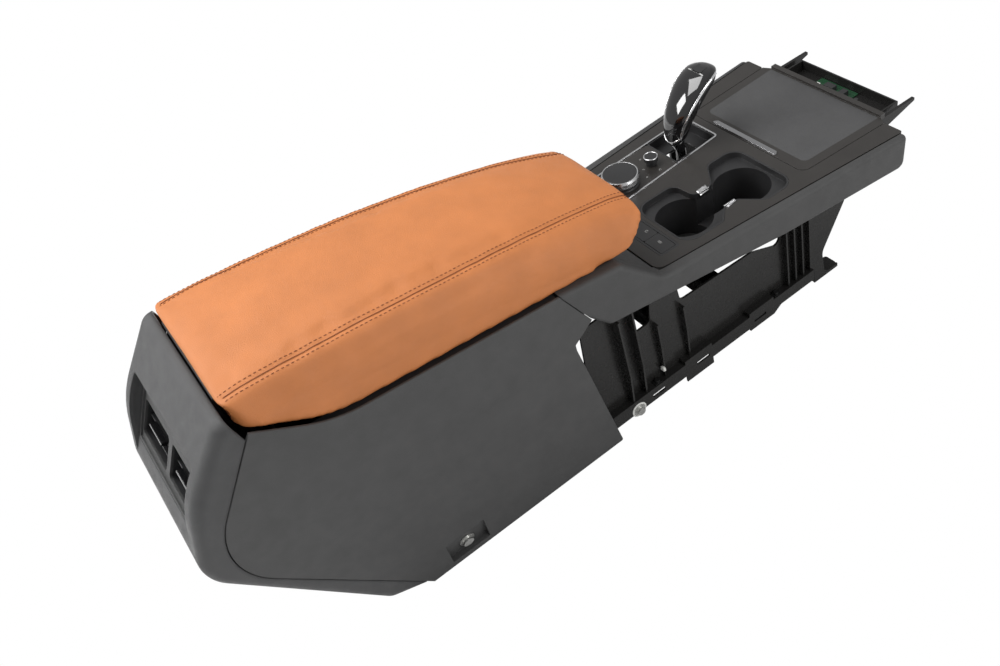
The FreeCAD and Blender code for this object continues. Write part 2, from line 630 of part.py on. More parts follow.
def striker_plate():
    """Steel frame under the front trim that takes the paddle's tongue."""
    rear, front, low = release_space(as_size(0))
    start, end = rear - 3, front + 3
    drop = s.bin_rim_drop + s.trim_thick + 2 * s.run_clearance
    half = s.tongue_half + 9
    plate = sheet_strip([(start, lid_z(start) - drop), (end, lid_z(end) - drop)], s.hinge_sheet, -half, half)
    return shape_feature("striker_blank", plate)


def bin_front_trim():
    start = -s.bin_front_y + 3 * s.fit_gap
    top = [(start, lid_z(start) - s.bin_rim_drop),
           (s.fascia_shoulder_y, lid_z(s.fascia_shoulder_y) - s.bin_rim_drop),
           (s.fascia_foot_y, deck_z(s.fascia_foot_y) - 0.5)]
    half = s.fascia_inner - s.fit_gap
    blank = shape_feature("trim_blank", sheet_strip(top, s.trim_thick, -half, half))
    rear, front, low = release_space(as_size(0))
    slot = pad("striker_slot", "XY_Plane", [rectangle(-s.tongue_half - 2, s.tongue_half + 2, rear, front)],
               as_size(60), low - 40)
    node(boolean("Cut", "bin_front_trim", blank, slot), "bin_front_trim")
    node(boolean("Cut", "latch_striker", striker_plate(), slot), "latch_striker")


# Rear air outlets, drawn in the plane of the cap's upper face

def mouth(side, grow):
    """Outline of one outlet's mouth on the right (1) or left (-1)."""
    inner, outer = s.mouth_inner - grow, s.mouth_outer + grow
    left, right = (inner, outer) if side > 0 else (-outer, -inner)
    return rectangle(left, right, s.mouth_low - grow, s.mouth_high + grow, s.mouth_round + grow)


def vent_parts():
    gap = s.fit_gap
    face = -s.vent_recess
    outer = rectangle(-s.vent_half + gap, s.vent_half - gap, s.vent_low + gap, s.vent_high - gap,
                      s.mouth_round - gap)
    rim = s.vent_plate
    field = rectangle(-s.vent_half + rim, s.vent_half - rim, s.vent_low + rim, s.vent_high - rim,
                      s.mouth_round - rim * 0.6)
    bezel = pad("vent_bezel", "XY_Plane", [outer, mouth(1, as_size(0)), mouth(-1, as_size(0))],
                s.vent_plate, face - s.vent_plate)
    add(bezel, "XY_Plane", [outer, field], s.vent_recess - 0.4, face)
    bezel.Placement = VENT
    node(bezel, "vent_bezel")
    wall = s.duct_wall
    shell = rectangle(-s.mouth_outer - wall, s.mouth_outer + wall, s.mouth_low - wall, s.mouth_high + wall,
                      s.mouth_round + wall)
    back = face - s.vent_plate
    duct = pad("vent_duct", "XY_Plane", [shell, mouth(1, as_size(0)), mouth(-1, as_size(0))],
               s.duct_depth, back - s.duct_depth)
    middle = (s.mouth_low + s.mouth_high) / 2
    axis_n = face - s.vane_setback
    heights = [middle + step * s.vane_pitch for step in (-1, 0, 1)]
    holes = [("circle", v, axis_n, s.vane_pin_radius + s.run_clearance) for v in heights]
    cut(duct, "YZ_Plane", holes, 3 * s.mouth_outer, symmetric=True)
    duct.Placement = VENT
    node(duct, "vent_duct")
    for side, word in ((1, "right"), (-1, "left")):
        vent_vanes(side, word, heights, axis_n)


def vent_vanes(side, word, heights, axis_n):
    """Three level vanes of one outlet on end pins, with a thumb tab on the middle one."""
    length = s.mouth_outer - s.mouth_inner - 2 * s.vane_end_gap
    start = s.mouth_inner + s.vane_end_gap
    if side < 0:
        start = -s.mouth_outer + s.vane_end_gap
    reach = s.duct_wall + s.vane_end_gap - 0.2
    for number, height in enumerate(heights, start=1):
        name = f"vent_vane_{word}_{number}"
        half = s.vane_thick / 2
        blade = rectangle(height - half, height + half, axis_n - s.vane_chord / 2, axis_n + s.vane_chord / 2,
                          half * 0.9)
        body = pad(name, "YZ_Plane", [blade], length, start)
        add(body, "YZ_Plane", [("circle", height, axis_n, s.vane_pin_radius)], length + 2 * reach, start - reach)
        body.Placement = VENT
        node(body, name)
    middle = start + length / 2
    tip = axis_n + s.tab_reach
    root = axis_n + s.vane_chord / 2
    grip = [(heights[1] - s.tab_thick / 2, root), (heights[1] + s.tab_thick / 2, root),
            (heights[1] + s.tab_thick / 4, tip, as_size(1)), (heights[1] - s.tab_thick / 4, tip, as_size(1))]
    tab = pad(f"vent_tab_{word}", "YZ_Plane", [grip], s.tab_length, middle - s.tab_length / 2)
    tab.Placement = VENT
    node(tab, f"vent_tab_{word}")


# Front deck, drawn in the deck's own frame

def fascia_half(y):
    share = (y + s.panel_shoulder_y) / (s.deck_front + s.panel_shoulder_y)
    return s.half_rear + (s.half_front - s.half_rear) * share


def deck_edge(y):
    share = (y - s.deck_rear) / (s.deck_front - s.deck_rear)
    return s.deck_half_rear + (deck_half_front() - s.deck_half_rear) * share


def cup_outline(inset):
    """Hourglass outline of the double cup well, drawn in by inset."""
    waist = s.cup_waist_round
    return [(s.cup_left + inset, s.cup_rear + inset, s.cup_round - inset),
            (s.cup_right - inset, s.cup_rear + inset, s.cup_round - inset),
            (s.cup_right - inset, s.cup_waist_rear - waist, waist),
            (s.cup_waist_right - inset, s.cup_waist_rear + waist, waist),
            (s.cup_waist_right - inset, s.cup_waist_front, waist),
            (s.cup_right_front - inset, s.cup_shoulder, s.cup_round * 0.7),
            (s.cup_right_front - inset, s.cup_front - inset, s.cup_round - inset),
            (s.cup_left_front + inset, s.cup_front - inset, s.cup_round - inset),
            (s.cup_left_front + inset, s.cup_shoulder, s.cup_round * 0.7),
            (s.cup_waist_left + inset, s.cup_waist_front, waist),
            (s.cup_waist_left + inset, s.cup_waist_rear, waist),
            (s.cup_left + inset, s.cup_waist_rear - waist * 0.5, s.cup_round * 0.6)]


def frame_x(side, y, inset):
    """Edge of the shifter frame at y, on its left (-1) or right (1), drawn in by inset."""
    share = (y - s.frame_rear) / (s.frame_front - s.frame_rear)
    if side < 0:
        return s.frame_left_rear + (s.frame_left_front - s.frame_left_rear) * share + inset
    return s.frame_right_rear + (s.frame_right_front - s.frame_right_rear) * share - inset


def frame_field(rear, front, inset, radius):
    return [(frame_x(-1, rear, inset), rear, radius), (frame_x(1, rear, inset), rear, radius),
            (frame_x(1, front, inset), front, radius), (frame_x(-1, front, inset), front, radius)]


def frame_outline(inset):
    return frame_field(s.frame_rear + inset, s.frame_front - inset, inset, s.frame_round - inset)


def deck_plate():
    gap = s.cover_gap
    outline = [(-s.deck_half_rear, s.deck_rear, s.deck_corner), (s.deck_half_rear, s.deck_rear, s.deck_corner),
               (deck_half_front(), s.deck_front, as_size(3)), (s.cover_half_front + gap, s.deck_front, as_size(2)),
               (s.cover_half_rear + gap, s.cover_rear - gap, s.cover_corner + gap),
               (-s.cover_half_rear - gap, s.cover_rear - gap, s.cover_corner + gap),
               (-s.cover_half_front - gap, s.deck_front, as_size(2)),
               (-deck_half_front(), s.deck_front, as_size(3))]
    bank = rectangle(s.bank_left, s.bank_right, s.bank_rear, s.bank_front, s.button_round + 1)
    body = pad("deck_plate", "XY_Plane", [outline, cup_outline(as_size(0)), frame_outline(as_size(0)), bank],
               s.deck_thick, -s.deck_thick)
    node(on_deck(body), "deck_plate")


def cup_holder():
    gap = s.fit_gap
    floor = -s.cup_depth
    body = pad("cup_holder_liner", "XY_Plane", [cup_outline(gap)], s.cup_ledge + s.cup_wall,
               -s.cup_ledge - s.cup_wall)
    wells = [(s.well_rear_x, s.well_rear_y), (s.well_front_x, s.well_front_y)]
    middle_x = (s.well_rear_x + s.well_front_x) / 2
    for x, y in wells:
        add(body, "XY_Plane", [("circle", x, y, s.well_radius + s.cup_wall)], s.cup_depth - s.cup_ledge, floor)
    neck = s.well_neck_half
    add(body, "XY_Plane", [rectangle(middle_x - neck - s.cup_wall, middle_x + neck + s.cup_wall,
                                     s.well_rear_y, s.well_front_y)],
        s.cup_depth - s.cup_ledge - 18, floor + 18)
    cut(body, "XY_Plane", [cup_outline(gap + s.cup_wall)], s.cup_ledge + 1, -s.cup_ledge)
    for x, y in wells:
        cut(body, "XY_Plane", [("circle", x, y, s.well_radius)], s.cup_depth - s.cup_wall - s.cup_ledge + 1,
            floor + s.cup_wall)
    cut(body, "XY_Plane", [rectangle(middle_x - neck, middle_x + neck, s.well_rear_y, s.well_front_y)],
        s.cup_depth - s.cup_ledge - 18 - s.cup_wall + 1, floor + 18 + s.cup_wall)
    node(on_deck(body), "cup_holder_liner")
    waist = (s.cup_waist_rear + s.cup_waist_front) / 2
    face = gap + s.cup_wall
    plates = []
    for left, middle in ((s.cup_waist_left + face, waist), (s.cup_waist_right - face - s.grip_thick, waist + 4)):
        corner = Vector(float(left), float(middle - s.grip_length / 2 + 4), -float(s.cup_ledge))
        plates.append(Part.makeBox(float(s.grip_thick), float(s.grip_length) - 8, float(s.cup_ledge) + 0.6, corner))
    node(shape_feature("cup_grips", Part.makeCompound(plates), DECK), "cup_grips")
    mats = [rod(x, y, floor + s.cup_wall, Vector(0, 0, 1), s.well_radius - 1, s.mat_thick) for x, y in wells]
    node(shape_feature("cup_mats", Part.makeCompound(mats), DECK), "cup_mats")


def shifter_field():
    gap = s.fit_gap
    ring = pad("shifter_frame", "XY_Plane", [frame_outline(gap), frame_outline(gap + s.frame_width)],
               s.deck_thick + s.frame_proud, -s.deck_thick)
    node(on_deck(ring), "shifter_frame")
    inset = 2 * gap + s.frame_width
    rear, split, front = s.frame_rear + inset, s.panel_front, s.frame_front - inset
    top = -0.6
    panel = pad("control_panel", "XY_Plane",
                [frame_field(rear, split, inset, as_size(3)),
                 ("circle", s.rotary_x, s.rotary_y, s.shaft_radius + s.run_clearance),
                 ("circle", s.volume_x, s.volume_y, s.shaft_radius * 0.6 + s.run_clearance)],
                s.control_thick, top - s.control_thick)
    node(on_deck(panel), "control_panel")
    well = pad("shifter_well", "XY_Plane", [frame_field(split + gap, front, inset, as_size(3))],
               s.well_depth + s.well_wall, top - s.well_depth - s.well_wall)
    cut(well, "XY_Plane", [frame_field(split + gap + s.well_wall, front - s.well_wall, inset + s.well_wall,
                                       as_size(3))], s.well_depth + 1, top - s.well_depth)
    slot = rectangle(s.lever_x - s.slot_width / 2, s.lever_x + s.slot_width / 2,
                     s.lever_y - s.slot_length / 2, s.lever_y + s.slot_length / 2, as_size(4))
    cut(well, "XY_Plane", [slot], s.well_depth + s.well_wall + 4, top - s.well_depth - s.well_wall - 2)
    node(on_deck(well), "shifter_well")
    boss_half = s.lever_neck / 2 + 1
    inner, outer = boss_half + gap, boss_half + gap + s.base_cheek
    roof = top - s.well_depth - s.well_wall
    low = -s.pivot_drop - s.lever_boss - 2
    yoke = [(s.lever_x - outer, low - s.base_cheek), (s.lever_x + outer, low - s.base_cheek),
            (s.lever_x + outer, roof), (s.lever_x + inner, roof), (s.lever_x + inner, low),
            (s.lever_x - inner, low), (s.lever_x - inner, roof), (s.lever_x - outer, roof)]
    base = pad("shifter_base", "XZ_Plane", [yoke], 2 * s.lever_boss, -s.lever_y - s.lever_boss)
    cut(base, "YZ_Plane", [("circle", s.lever_y, -s.pivot_drop, s.lever_pin_radius + s.run_clearance)], 4 * outer,
        s.lever_x - 2 * outer)
    node(on_deck(base), "shifter_base")
    pin = rod(s.lever_x - outer, s.lever_y, -s.pivot_drop, Vector(1, 0, 0), s.lever_pin_radius, 2 * outer)
    node(shape_feature("shifter_pivot_pin", pin, DECK), "shifter_pivot_pin")


def lever_outline():
    """Side outline of the lever's grip, leaning forward from its foot."""
    y = s.lever_y
    return [(y - 18, as_size(5), as_size(5)), (y - 16, as_size(42), as_size(40)),
            (y + 30, s.lever_top, as_size(24)), (y + 70, s.lever_top, as_size(15)),
            (y + 70, s.lever_top - 21, as_size(10)), (y + 26, as_size(36), as_size(30)),
            (y + 12, as_size(5), as_size(4))]


def shift_lever():
    grip = pad("lever_grip", "YZ_Plane", [lever_outline()], 2 * s.lever_half, s.lever_x - s.lever_half)
    sides = (float(s.lever_x - s.lever_half), float(s.lever_x + s.lever_half))
    round_edges(grip, s.lever_round, lambda edge: flat_at("X", sides[0])(edge) or flat_at("X", sides[1])(edge))
    neck = s.lever_neck
    add(grip, "YZ_Plane", [rectangle(s.lever_y - neck / 2, s.lever_y + neck / 2, -s.pivot_drop, as_size(8))],
        neck, s.lever_x - neck / 2)
    boss = neck + 2
    add(grip, "YZ_Plane", [("circle", s.lever_y, -s.pivot_drop, s.lever_boss)], boss, s.lever_x - boss / 2)
    cut(grip, "YZ_Plane", [("circle", s.lever_y, -s.pivot_drop, s.lever_pin_radius + s.run_clearance)],
        2 * boss, s.lever_x - boss)
    room = s.fit_gap
    top = s.lever_top
    middle = s.lever_y + 44
    cut(grip, "XY_Plane", [rectangle(s.lever_x - s.park_half - room, s.lever_x + s.park_half + room,
                                     middle - s.park_length / 2 - room, middle + s.park_length / 2 + room,
                                     as_size(2))], s.park_thick + 6, top - s.park_thick - 1.5)
    park = pad("park_button", "XY_Plane", [rectangle(s.lever_x - s.park_half, s.lever_x + s.park_half,
                                                     middle - s.park_length / 2, middle + s.park_length / 2,
                                                     as_size(1.8))],
               s.park_thick + 0.6, top - s.park_thick + 0.4)
    node(on_deck(park), "park_button")
    y = float(s.lever_y)
    band = [(y + 2, 6), (y + 8, 38), (y + 40, 72), (y + 62, 82)]
    proud, seat = s.lever_half + s.trim_proud, s.lever_half - 1
    strips = [sheet_strip(band, s.trim_width, s.lever_x + seat, s.lever_x + proud),
              sheet_strip(band, s.trim_width, s.lever_x - proud, s.lever_x - seat)]
    trim = shape_feature("lever_trim", Part.makeCompound(strips), DECK)
    node(trim, "lever_trim")
    on_deck(grip)
    node(boolean("Cut", "shift_lever", grip, trim), "shift_lever")


def turned(name, half_section):
    """A body of revolution about its own Z axis from (radius, height) corners."""
    body = new_body(name)
    sketch = new_sketch(body, "XZ_Plane", 0)
    draw_outline(sketch, half_section)
    turn = body.newObject("PartDesign::Revolution", f"{name}_turn")
    turn.Profile = sketch
    turn.ReferenceAxis = (sketch, ["V_Axis"])
    turn.Angle = 360
    body.Tip = turn
    doc.recompute()
    return body


def knob_place(body, x, y):
    spot = DECK.multVec(Vector(float(x), float(y), 0))
    body.Placement = Placement(spot, DECK.Rotation)
    doc.recompute()
    return body


def knobs():
    zero = as_size(0)
    top, rim, radius = s.rotary_height, s.rotary_rim, s.rotary_radius
    shaft, low = s.shaft_radius, s.collar_height + s.hinge_clearance
    seat = as_size(-0.6)
    collar = turned("rotary_collar", [(shaft + 3, seat), (radius - 1, seat), (radius - 1, seat + 2),
                                      (radius - 3, seat + 3), (radius - 3, s.collar_height),
                                      (shaft + 3, s.collar_height)])
    node(knob_place(collar, s.rotary_x, s.rotary_y), "rotary_collar")
    knob = turned("rotary_knob", [(zero, as_size(-9)), (shaft, as_size(-9)), (shaft, low), (radius - 2, low),
                                  (radius, low + 3), (radius, top - 3), (radius - 1.5, top), (radius - rim, top),
                                  (radius - rim, top - 2), (zero, top - 2)])
    node(knob_place(knob, s.rotary_x, s.rotary_y), "rotary_knob")
    disc = radius - rim - 2 * s.run_clearance
    cap = turned("rotary_cap", [(zero, top - 2), (disc, top - 2), (disc, top - 0.4),
                                (disc - 1, top + 0.2), (zero, top + 0.8)])
    node(knob_place(cap, s.rotary_x, s.rotary_y), "rotary_cap")
    high, wide, stem = s.volume_height, s.volume_radius, s.shaft_radius * 0.6
    small = turned("volume_knob", [(zero, as_size(-7)), (stem, as_size(-7)), (stem, as_size(0)),
                                   (wide - 2.5, as_size(0)), (wide - 2, high * 0.4), (wide, high * 0.5),
                                   (wide, high - 1), (wide - 1, high), (zero, high)])
    node(knob_place(small, s.volume_x, s.volume_y), "volume_knob")


def button_bank():
    gap, border = s.fit_gap, s.bank_border
    left, right = s.bank_left + gap, s.bank_right - gap
    rear, front = s.bank_rear + gap, s.bank_front - gap
    frame = pad("button_frame", "XY_Plane",
                [rectangle(left, right, rear, front, s.button_round),
                 rectangle(left + border, right - border, rear + border, front - border, s.button_round)],
                s.bank_depth, -s.bank_depth)
    node(on_deck(frame), "button_frame")
    middle = (left + right) / 2
    room = s.button_gap
    spans = ((left + border + room, middle - room / 2), (middle + room / 2, right - border - room))
    for number, (low, high) in enumerate(spans, start=1):
        key = pad(f"console_button_{number}", "XY_Plane",
                  [rectangle(low, high, rear + border + room, front - border - room, s.button_round - room)],
                  s.bank_depth - 6, 6 - s.bank_depth)
        node(on_deck(key), f"console_button_{number}")


def sliding_cover():
    edge = s.cover_rear
    outline = [(-s.cover_half_rear, edge, s.cover_corner), (s.cover_half_rear, edge, s.cover_corner),
               (s.cover_half_front, s.deck_front), (s.ridge_half, s.ridge_start), (s.ridge_half, s.cover_front),
               (-s.ridge_half, s.cover_front), (-s.ridge_half, s.ridge_start), (-s.cover_half_front, s.deck_front)]
    body = pad("cover_panel", "XY_Plane", [outline], s.cover_thick, -s.cover_thick)
    add(body, "XY_Plane", [rectangle(-s.ridge_half, s.ridge_half, s.ridge_start, s.cover_front)], s.ridge_proud)
    margin = s.inset_margin
    field = [(-s.cover_half_rear + margin, edge + margin + 3, s.cover_corner * 0.7),
             (s.cover_half_rear - margin, edge + margin + 3, s.cover_corner * 0.7),
             (s.cover_half_front - margin, s.ridge_start - 2), (-s.cover_half_front + margin, s.ridge_start - 2)]
    cut(body, "XY_Plane", [field], s.inset_thick + 1, -s.inset_thick)
    handle = [(s.handle_left, edge + 2, as_size(2)), (s.handle_right, edge + 2, as_size(2)),
              (s.handle_right - 6, edge + 2 + s.handle_width, as_size(2)),
              (s.handle_left + 6, edge + 2 + s.handle_width, as_size(2))]
    cut(body, "XY_Plane", [handle], s.cover_thick, -2)
    rail_in, rail_out = s.rail_inner, s.rail_inner + s.rail_thick
    room = s.hinge_clearance
    for side in (-1, 1):
        for near in (rail_in - room - s.rib_thick, rail_out + room):
            left = near if side > 0 else -near - s.rib_thick
            add(body, "XY_Plane", [rectangle(left, left + s.rib_thick, edge + 8, edge + 8 + s.rib_length)],
                s.rib_drop + 1, -s.cover_thick - s.rib_drop)
    node(on_deck(body), "cover_panel")
    inset = pad("cover_inset", "XY_Plane", [field], s.inset_thick, -s.inset_thick)
    node(on_deck(inset), "cover_inset")
    bar = pad("cover_handle", "XY_Plane", [handle], s.handle_proud + 2, -2)
    node(on_deck(bar), "cover_handle")


def cover_rails():
    foot_low = -s.rail_drop
    fin_top = -s.cover_thick - s.hinge_clearance
    rear = s.tray_rear - 6
    fin = [(rear, foot_low), (s.rail_tip - s.rail_taper, foot_low), (s.rail_tip, fin_top - 4), (s.rail_tip, fin_top),
           (rear, fin_top)]
    body = pad("right_cover_rail", "YZ_Plane", [fin], s.rail_thick, s.rail_inner)
    add(body, "YZ_Plane", [rectangle(rear, s.rail_tip - s.rail_taper, foot_low, foot_low + s.rail_foot)],
        s.rail_inner - s.tray_half + 1, s.tray_half)
    node(on_deck(body), "right_cover_rail")
    mirrored(body, "left_cover_rail")


def front_tray():
    top, low = -s.tray_drop, -s.tray_drop - s.tray_depth
    wall = s.tray_wall
    shelf = top - s.board_depth - wall
    side = [(s.tray_rear, low, as_size(8)), (s.tray_split, low, as_size(8)), (s.tray_split, shelf),
            (s.tray_front, shelf), (s.tray_front, top), (s.tray_rear, top)]
    body = pad("front_tray", "YZ_Plane", [side], 2 * s.tray_half, symmetric=True)
    bin_space = [(s.tray_rear + wall, low + wall, as_size(6)), (s.tray_split - wall, low + wall, as_size(6)),
                 (s.tray_split - wall, top + 1), (s.tray_rear + wall, top + 1)]
    cut(body, "YZ_Plane", [bin_space], 2 * (s.tray_half - wall), symmetric=True)
    board_space = rectangle(s.tray_split + wall, s.tray_front - wall, shelf + wall, top + 1)
    cut(body, "YZ_Plane", [board_space], 2 * (s.tray_half - wall), symmetric=True)
    node(on_deck(body), "front_tray")
    floor = shelf + wall
    rear, front = s.tray_split + wall + 1, s.tray_front - wall - 1
    board = pad("circuit_board", "XY_Plane", [rectangle(as_size(-44), as_size(22), rear, front)], s.board_thick, floor)
    node(on_deck(board), "circuit_board")
    top_of_board = float(floor + s.board_thick)
    y = float(rear)
    sockets = [Part.makeBox(13, 9, 6, Vector(-14, y + 3, top_of_board)),
               Part.makeBox(6, 5, 4, Vector(-38, y + 16, top_of_board))]
    node(shape_feature("board_connectors", Part.makeCompound(sockets), DECK), "board_connectors")
    plugs = [Part.makeBox(16, 10, 7, Vector(-24, y + 17, top_of_board)),
             Part.makeBox(9, 12, 7, Vector(4, y + 15, top_of_board)),
             rod(36, y + 16, floor, Vector(0, 0, 1), 3, 10)]
    node(shape_feature("harness_plugs", Part.makeCompound(plugs), DECK), "harness_plugs")


def right_fascia():
    rear = -s.panel_shoulder_y + s.seam_gap
    foot = s.deck_rear - s.groove
    high, low = as_size(330), as_size(140)
    plan = [(s.fascia_inner, rear), (fascia_half(rear), rear), (s.half_front, s.deck_front),
            (deck_half_front() + s.groove, s.deck_front), (s.deck_half_rear + s.groove, s.deck_rear),
            (s.fascia_inner, foot)]
    body = pad("fascia_plan", "XY_Plane", [plan], high - low, low)
    top_front = deck_z(s.deck_front)
    side = [(rear, lid_z(rear) - s.lid_gap),
            (s.fascia_shoulder_y, lid_z(s.fascia_shoulder_y) - s.lid_gap, as_size(14)),
            (s.fascia_foot_y, deck_z(s.fascia_foot_y), as_size(25)),
            (s.deck_front, top_front, as_size(8)), (s.deck_front - 4, s.fascia_low_front, as_size(12)),
            (s.fascia_mid_y, s.fascia_low_mid), (-s.fascia_tail_y, s.fascia_low_rear, as_size(14)),
            (-s.panel_front_y + s.seam_gap, s.panel_peak_z)]
    profile = pad("fascia_side", "YZ_Plane", [side], s.half_front, s.fascia_inner - 20)
    block = boolean("Common", "fascia_block", body, profile)

    def outer_edge(edge):
        points = edge.discretize(3)
        on_skin = all(abs(p.x - float(fascia_half(as_size(p.y)))) < 0.02 for p in points)
        middle = points[1]
        lower = middle.z < float(s.fascia_low_rear) and middle.y < float(s.deck_front) - 30
        behind = middle.y < -2 and middle.z < float(lid_z(rear)) - 8
        return on_skin and not lower and not behind

    rounded = doc.addObject("Part::Fillet", "fascia_rounded")
    rounded.Base = block
    radius = float(s.fascia_round)
    rounded.Edges = [(i, radius, radius) for i, edge in enumerate(block.Shape.Edges, start=1) if outer_edge(edge)]
    doc.recompute()
    wall = s.fascia_wall
    inside = [(s.fascia_inner - 40, rear - 10), (fascia_half(rear - 10) - wall, rear - 10),
              (fascia_half(s.deck_front - wall) - wall, s.deck_front - wall), (s.fascia_inner - 40, s.deck_front - wall)]
    hollow_plan = pad("fascia_hollow_plan", "XY_Plane", [inside], high - low + 40, low - 40)
    hollow_side = [(rear - 10, lid_z(rear - 10) - s.lid_gap - wall),
                   (s.fascia_shoulder_y - 2, lid_z(s.fascia_shoulder_y) - s.lid_gap - wall, as_size(12)),
                   (s.fascia_foot_y - 2, deck_z(s.fascia_foot_y) - wall, as_size(27)),
                   (s.deck_front - wall, top_front - wall), (s.deck_front - wall, low - 30), (rear - 10, low - 30)]
    hollow_profile = pad("fascia_hollow_side", "YZ_Plane", [hollow_side], 2 * s.half_front, s.fascia_inner - 60)
    hollow = boolean("Common", "fascia_hollow", hollow_plan, hollow_profile)
    shell = boolean("Cut", "fascia_shell", rounded, hollow)
    start, end = s.deck_rear + s.deck_corner, s.deck_front - 6
    under = -s.deck_thick - 3
    ledge = pad("fascia_ledge", "XY_Plane",
                [[(deck_edge(start) - s.fascia_ledge, start), (deck_edge(start) + s.groove + 2, start),
                  (deck_edge(end) + s.groove + 2, end), (deck_edge(end) - s.fascia_ledge, end)]],
                as_size(3), under)
    add(ledge, "XY_Plane", [[(deck_edge(start) + s.groove + 0.3, start), (deck_edge(start) + s.groove + 2, start),
                             (deck_edge(end) + s.groove + 2, end), (deck_edge(end) + s.groove + 0.3, end)]],
        as_size(5), under)
    on_deck(ledge)
    whole = boolean("Fuse", "right_fascia", shell, ledge)
    node(whole, "right_fascia")
    mirrored(whole, "left_fascia")


# Carrier under the deck

def right_side_frame():
    inner, wall = s.carrier_inner, s.carrier_wall
    skin = inner + wall
    leg_top = s.rail_drop + 0.2
    arch_top = s.deck_thick + 0.2
    front, rear_leg = s.leg_front_y, s.leg_rear_y
    heel = s.foot_front_y - s.foot_length
    web = [(-s.beam_rear_y, s.beam_low), (s.step_y, s.beam_low), (s.step_y, s.step_low), (heel, s.step_low),
           (heel, as_size(0)), (s.foot_front_y, as_size(0)), (s.foot_front_y, s.foot_thick),
           (s.foot_front_y - 26, s.foot_thick, as_size(6)),
           (front - 44, as_size(50), as_size(22)), (front, as_size(118), as_size(10)), (front, deck_z(front, leg_top)),
           (rear_leg, deck_z(rear_leg, leg_top)), (rear_leg, s.dip_z, as_size(8)),
           (rear_leg - s.dip_length, s.carrier_high - 6), (s.arch_front_y, s.carrier_high, as_size(8)),
           (s.arch_front_y - 8, deck_z(s.arch_front_y - 8, arch_top)),
           (s.arch_rear_y + 12, deck_z(s.arch_rear_y + 12, arch_top)), (s.arch_rear_y, s.carrier_high, as_size(8)),
           (s.upright_front_y, s.carrier_high, as_size(8)), (s.upright_front_y, s.upright_high),
           (-s.upright_rear_y, s.upright_high), (-s.upright_rear_y - 7, s.carrier_rear_high, as_size(10)),
           (-s.beam_rear_y, s.carrier_rear_high)]
    body = pad("right_side_frame", "YZ_Plane", [web], wall, inner)
    beam_rear, beam_front = -s.pocket_y + s.pocket_length / 2 + 14, front - 72
    reach = s.beam_outer - skin
    plate = s.rib_plate
    add(body, "YZ_Plane", [rectangle(beam_rear, beam_front, s.beam_high - wall, s.beam_high)], reach, skin)
    slots = [rectangle(start, start + s.slot_long, s.slot_low, s.slot_low + s.slot_high)
             for start in (s.slot_first, s.tab_start + 20, s.box_start + 8)]
    bolt_hole = ("circle", s.frame_bolt_y, s.frame_bolt_z, s.bolt_radius + s.fit_gap)
    flange = [(beam_rear, s.beam_low), (s.tab_start, s.flange_low), (s.tab_start, s.tab_low),
              (s.tab_end, s.tab_low), (s.tab_end, s.flange_low), (s.step_y, s.flange_low), (s.step_y, s.box_low),
              (s.box_end, s.box_low), (s.box_end + 14, s.step_low), (beam_front, s.step_low),
              (beam_front, s.beam_high), (beam_rear, s.beam_high)]
    add(body, "YZ_Plane", [flange, bolt_hole] + slots, plate, s.beam_outer - plate)
    for start, end in ((s.tab_start, s.tab_end), (s.step_y, s.box_end)):
        add(body, "YZ_Plane", [rectangle(start, end, s.beam_high - 1, s.beam_high + s.box_rise)], reach, skin)
    for y, high, out in ((5, 204, 16), (28, 206, 14), (64, 146, 9), (108, 146, 9)):
        rib = [(skin, s.beam_high - 1), (skin + out * 0.6, s.beam_high - 1), (skin + out, as_size(100)),
               (skin + out, as_size(high)), (skin, as_size(high))]
        add(body, "XZ_Plane", [rib], plate, as_size(-y) - plate)
    for step in range(4):
        y = rear_leg + 5 + 14 * step
        rib = [(skin, s.beam_high - 1), (s.beam_outer - 3, s.beam_high - 1), (s.beam_outer - 3, as_size(176)),
               (skin, as_size(190))]
        add(body, "XZ_Plane", [rib], plate, -y - plate)
    add(body, "XY_Plane", [rectangle(s.foot_inner, inner + 1, heel, s.foot_front_y, as_size(4))], s.foot_thick)
    cut(body, "XY_Plane", [("circle", s.foot_hole_x, s.foot_hole_y, s.foot_hole)], s.foot_thick + 4, as_size(-2))
    back = s.half_rear - s.pocket_depth - s.pocket_back
    add(body, "YZ_Plane", [("circle", -s.pocket_y, pocket_middle(), s.pocket_hole + 4)], back - skin, skin)
    node(body, "right_side_frame")
    mirrored(body, "left_side_frame")


def cross_members():
    """Three like channels that tie the side frames together; the rear one carries the bin."""
    wall = s.carrier_wall
    places = ((s.cross_front_y, s.cross_front_z), (s.cross_middle_y, s.carrier_high - 4),
              (-s.cross_rear_y, s.bin_floor_z))
    channels = []
    for number, (start, top) in enumerate(places, start=1):
        end, low = start + s.cross_width, top - s.cross_high
        channel = [(start, low), (end, low), (end, top), (end - wall, top), (end - wall, low + wall),
                   (start + wall, low + wall), (start + wall, top), (start, top)]
        channels.append(pad(f"channel_{number}", "YZ_Plane", [channel], 2 * s.carrier_inner, symmetric=True))
    group = doc.addObject("Part::Compound", "cross_members")
    group.Links = channels
    doc.recompute()
    node(group, "cross_members")


